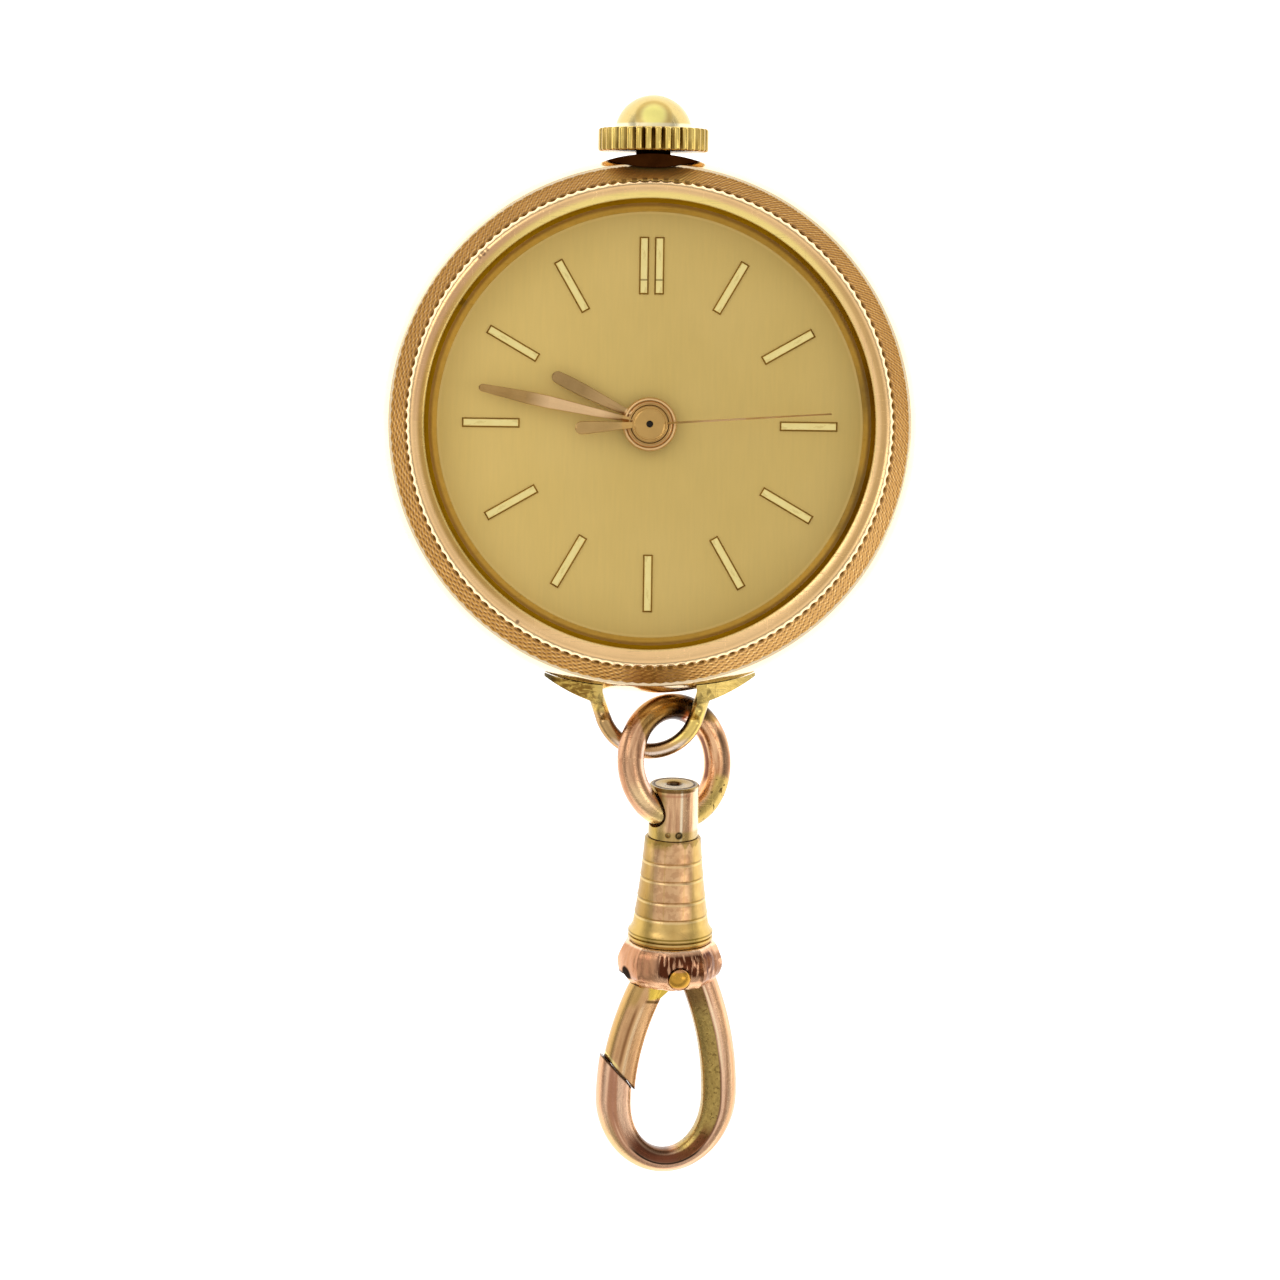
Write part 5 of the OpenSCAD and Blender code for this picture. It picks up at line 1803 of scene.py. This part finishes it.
def hook_gold():
    finish = Finish("hook_gold")
    along = finish.attribute("along")
    across = finish.attribute("across")
    upward = finish.attribute("upward")
    cloud = finish.grain(0.8, 3)
    streak_where = finish.node("CombineXYZ", sockets={0: across * 2.0, 1: upward * 1.2, 2: along * 0.13})
    streak = finish.grain(0.6, 3, streak_where, 0.3)
    finish.colour = finish.mix(finish.rise(streak, 0.32, 0.66), (178, 126, 94), (242, 196, 160))
    warm = finish.between(along, 1.5, 11.0, 1.5) * finish.rise(across, -0.1, -0.5)
    finish.coat(warm * 0.35, (244, 200, 144))
    inside = across - FILED_FROM
    inner = finish.rise(inside, 0, 0.07)
    right = 1 - finish.rise(along, 11.4, 12.4)
    rough_olive = finish.mix(finish.grain(0.2, 3), (120, 96, 42), (204, 174, 98))
    finish.coat(inner * right * 0.94, rough_olive)
    top = finish.rise(along, 3.2, 1.8) * inner
    finish.coat(top * 0.8, (128, 92, 54))
    shine = finish.between(inside, -0.16, -0.04, 0.03) * finish.between(along, 1.2, 6.0, 0.8)
    finish.coat(shine * 0.8, (255, 226, 186))
    # Painted shade: a dark line along the crease between the round outer face and the filed slope.
    dark_edge = finish.between(inside, -0.04, 0.06, 0.04) * finish.between(along, 5.5, 11, 0.8)
    finish.coat(dark_edge * 0.7, (96, 58, 34))
    # Painted shade: the inner slope at the bottom of the hook is dark red-brown, with dark painted shade at
    # its edge by the hole and a black painted line beneath.
    band = finish.between(inside, 0.0, 0.6, 0.08) * finish.between(along, 9.6, 15.2, 0.7)
    finish.coat(band * (0.84 + streak * 0.16), (104, 54, 34))
    hole_edge = finish.rise(across, 0.4, 0.8) * finish.between(along, 12.2, 15.4, 0.5)
    finish.coat(hole_edge * 0.85, (70, 36, 12))
    line = finish.between(inside, -0.14, 0.02, 0.05) * finish.between(along, 10.6, 15.0, 0.6)
    finish.coat(line * 0.95, (30, 14, 6))
    outer = finish.rise(across, -0.72, -0.95)
    finish.coat(outer * 0.6, (200, 156, 116))
    gold_left = finish.between(along, 13.0, 16.6, 0.9) * finish.rise(across, -0.3, -0.6)
    finish.coat(gold_left * 0.8, (222, 184, 128))
    lit = finish.rise(across, 0.05, 0.2) * finish.rise(along, 15.2, 16.2)
    finish.coat(lit * 0.5, (248, 206, 172))
    red = finish.between(across, -0.5, -0.05, 0.12) * finish.rise(along, 15.8, 17.0)
    finish.coat(red * finish.rise(streak, 0.3, 0.5) * 0.65, (158, 98, 72))
    pits = inner * right * finish.rise(finish.grain(0.16, 2), 0.6, 0.66)
    finish.coat(pits * 0.5, (88, 66, 26))
    tip = finish.rise(finish.x, -1.3, -1.5)
    past = past_plane(finish.x, finish.z)
    finish.coat(finish.rise(past, -0.13, -0.05) * tip * 0.95, (66, 38, 12))
    return worn(finish, 0.25, relief=0.004, extra_height=(pits + inner * right * cloud) * -0.02)


settle("hook_wire", hook_bm, "clip", hook_gold(), ["hook"], hook_place, sharp=24)

# %% [markdown]
# The gate is the hook's hinged arm. Its tail is a flat plate that turns on the rivet inside the collar,
# and a yellow step shows where the plate was brazed to the arm.

# %% Gate
TAIL_HALF = 0.5
TAIL_OUTLINE = [(-0.6, -9.3), (0.5, -10.6), (-0.5, -11.5), (-1.95, -11.5), (-1.8, -10.6)]


def gate_middle(down):
    return -(GATE_HALF - GATE_BOW * (GATE_MID - down) ** 2)


gate_path = []
for i in range(21):
    down = HOOK_MID + (GATE_TOP - HOOK_MID) * i / 20
    gate_path.append((gate_middle(down), down))
gate_stations = along_path(gate_path, [(ARM_W / 2, ARM_T / 2)] * len(gate_path))
gate_bm = drawn(filed_section(), gate_stations, [HOOK_MID - down for _, down in gate_path])
for vert in gate_bm.verts:
    if vert.co.z > -(GATE_TOP + 0.35):
        vert.co.z = min(vert.co.z, -GATE_TOP)
gate_bm = joint_cut(gate_bm, -1)
mend_end(gate_bm, gate_middle, lambda down: HOOK_MID - down)

tail_bm = plate(TAIL_OUTLINE, TAIL_HALF)
tail_bm = combine(tail_bm, rod(TAIL_R, 2 * TAIL_HALF - 0.001, (0, 0, PIVOT), "Y"), "UNION")
gate_bm = combine(gate_bm, tail_bm, "UNION")
gate_bm = combine(gate_bm, rod(RIVET_R + 0.05, 4, (0, 0, PIVOT), "Y"), "DIFFERENCE")


def gate_gold():
    finish = Finish("gate_gold")
    along = finish.attribute("along")
    across = finish.attribute("across")
    cloud = finish.grain(0.9, 3)
    where = finish.node("CombineXYZ", sockets={0: across * 2.0, 1: finish.y * 1.2, 2: along * 0.2})
    streak = finish.grain(0.7, 3, where, 0.3)
    finish.colour = finish.mix(cloud, (196, 148, 98), (232, 186, 134))
    finish.coat(finish.rise(streak, 0.5, 0.66) * 0.45, (176, 126, 88))
    long_streak = finish.between(across, -0.34, -0.16, 0.08) * finish.between(along, 1.8, 5.0, 0.5)
    finish.coat(long_streak * finish.rise(streak, 0.25, 0.45) * 0.8, (132, 84, 46))
    light = finish.between(across, -0.05, 0.14, 0.05) * finish.between(along, 1.0, 5.2, 0.4)
    finish.coat(light * 0.5, (255, 222, 176))
    high = finish.rise(finish.z, -12.2, -11.4) * finish.rise(across, -0.2, -0.5)
    left = finish.rise(across, -0.66, -0.86) + high
    finish.coat(finish.rise(left, 0.1, 0.9) * 0.7, (184, 148, 82))
    step = finish.rise(finish.z, -11.62, -11.5) * finish.rise(finish.x, -1.35, -1.1)
    finish.coat(step * 0.95, (220, 186, 74))
    sag = finish.z + (finish.x + 1.2) * 0.2
    step_edge = finish.between(sag, -11.72, -11.56, 0.04) * finish.rise(finish.x, -1.5, -1.25)
    finish.coat(step_edge * 0.85, (92, 62, 12))
    past = past_plane(finish.x, finish.z)
    finish.coat(finish.rise(past, 0.13, 0.06) * 0.9, (62, 34, 10))
    glint = finish.between(past, 0.1, 0.24, 0.04) * finish.rise(finish.x, -2.6, -3.0)
    finish.coat(glint * 0.85, (255, 230, 150))
    return worn(finish, 0.26)


settle("gate_arm", gate_bm, "gate", gate_gold(), ["gate"], hook_place, sharp=24)

# %% [markdown]
# The rivet that the gate turns on is yellow, of a softer gold than the collar. Its solid is a pin with
# two domed heads, so a merged copy does.

# %% Rivet
def rivet_gold():
    finish = Finish("rivet_gold")
    cloud = finish.grain(0.4, 3)
    finish.colour = finish.mix(cloud, (186, 132, 44), (214, 164, 70))
    away = (finish.x * finish.x + (finish.z - PIVOT) * (finish.z - PIVOT)) ** 0.5
    finish.coat(finish.rise(away, 0.5, 0.6) * 0.5, (196, 160, 96))
    # The head's top and bottom take the collar's rose, so that only an oval of yellow shows.
    rose_head_ends = finish.rise(abs(finish.z - PIVOT), 0.36, 0.46)
    finish.coat(rose_head_ends * 0.8, (206, 146, 104))
    return worn(finish, 0.25)


rivet_bm = copy_of("rivet", hook_place)
settle("rivet_smooth", rivet_bm, "clip", rivet_gold(), ["rivet"], hook_place)

# %% [markdown]
# ## Last measures
# The boxes of the solids and of the dressed watch are printed, in millimetres.

# %% Measure and finish
dressed_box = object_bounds()
boxes = {
    "solids": [[float(part) for part in corner] for corner in solid_box],
    "dressed": [[float(part) for part in corner] for corner in dressed_box],
}
for name, corners in boxes.items():
    print(name, [[round(part / MM, 2) for part in corner] for corner in corners])
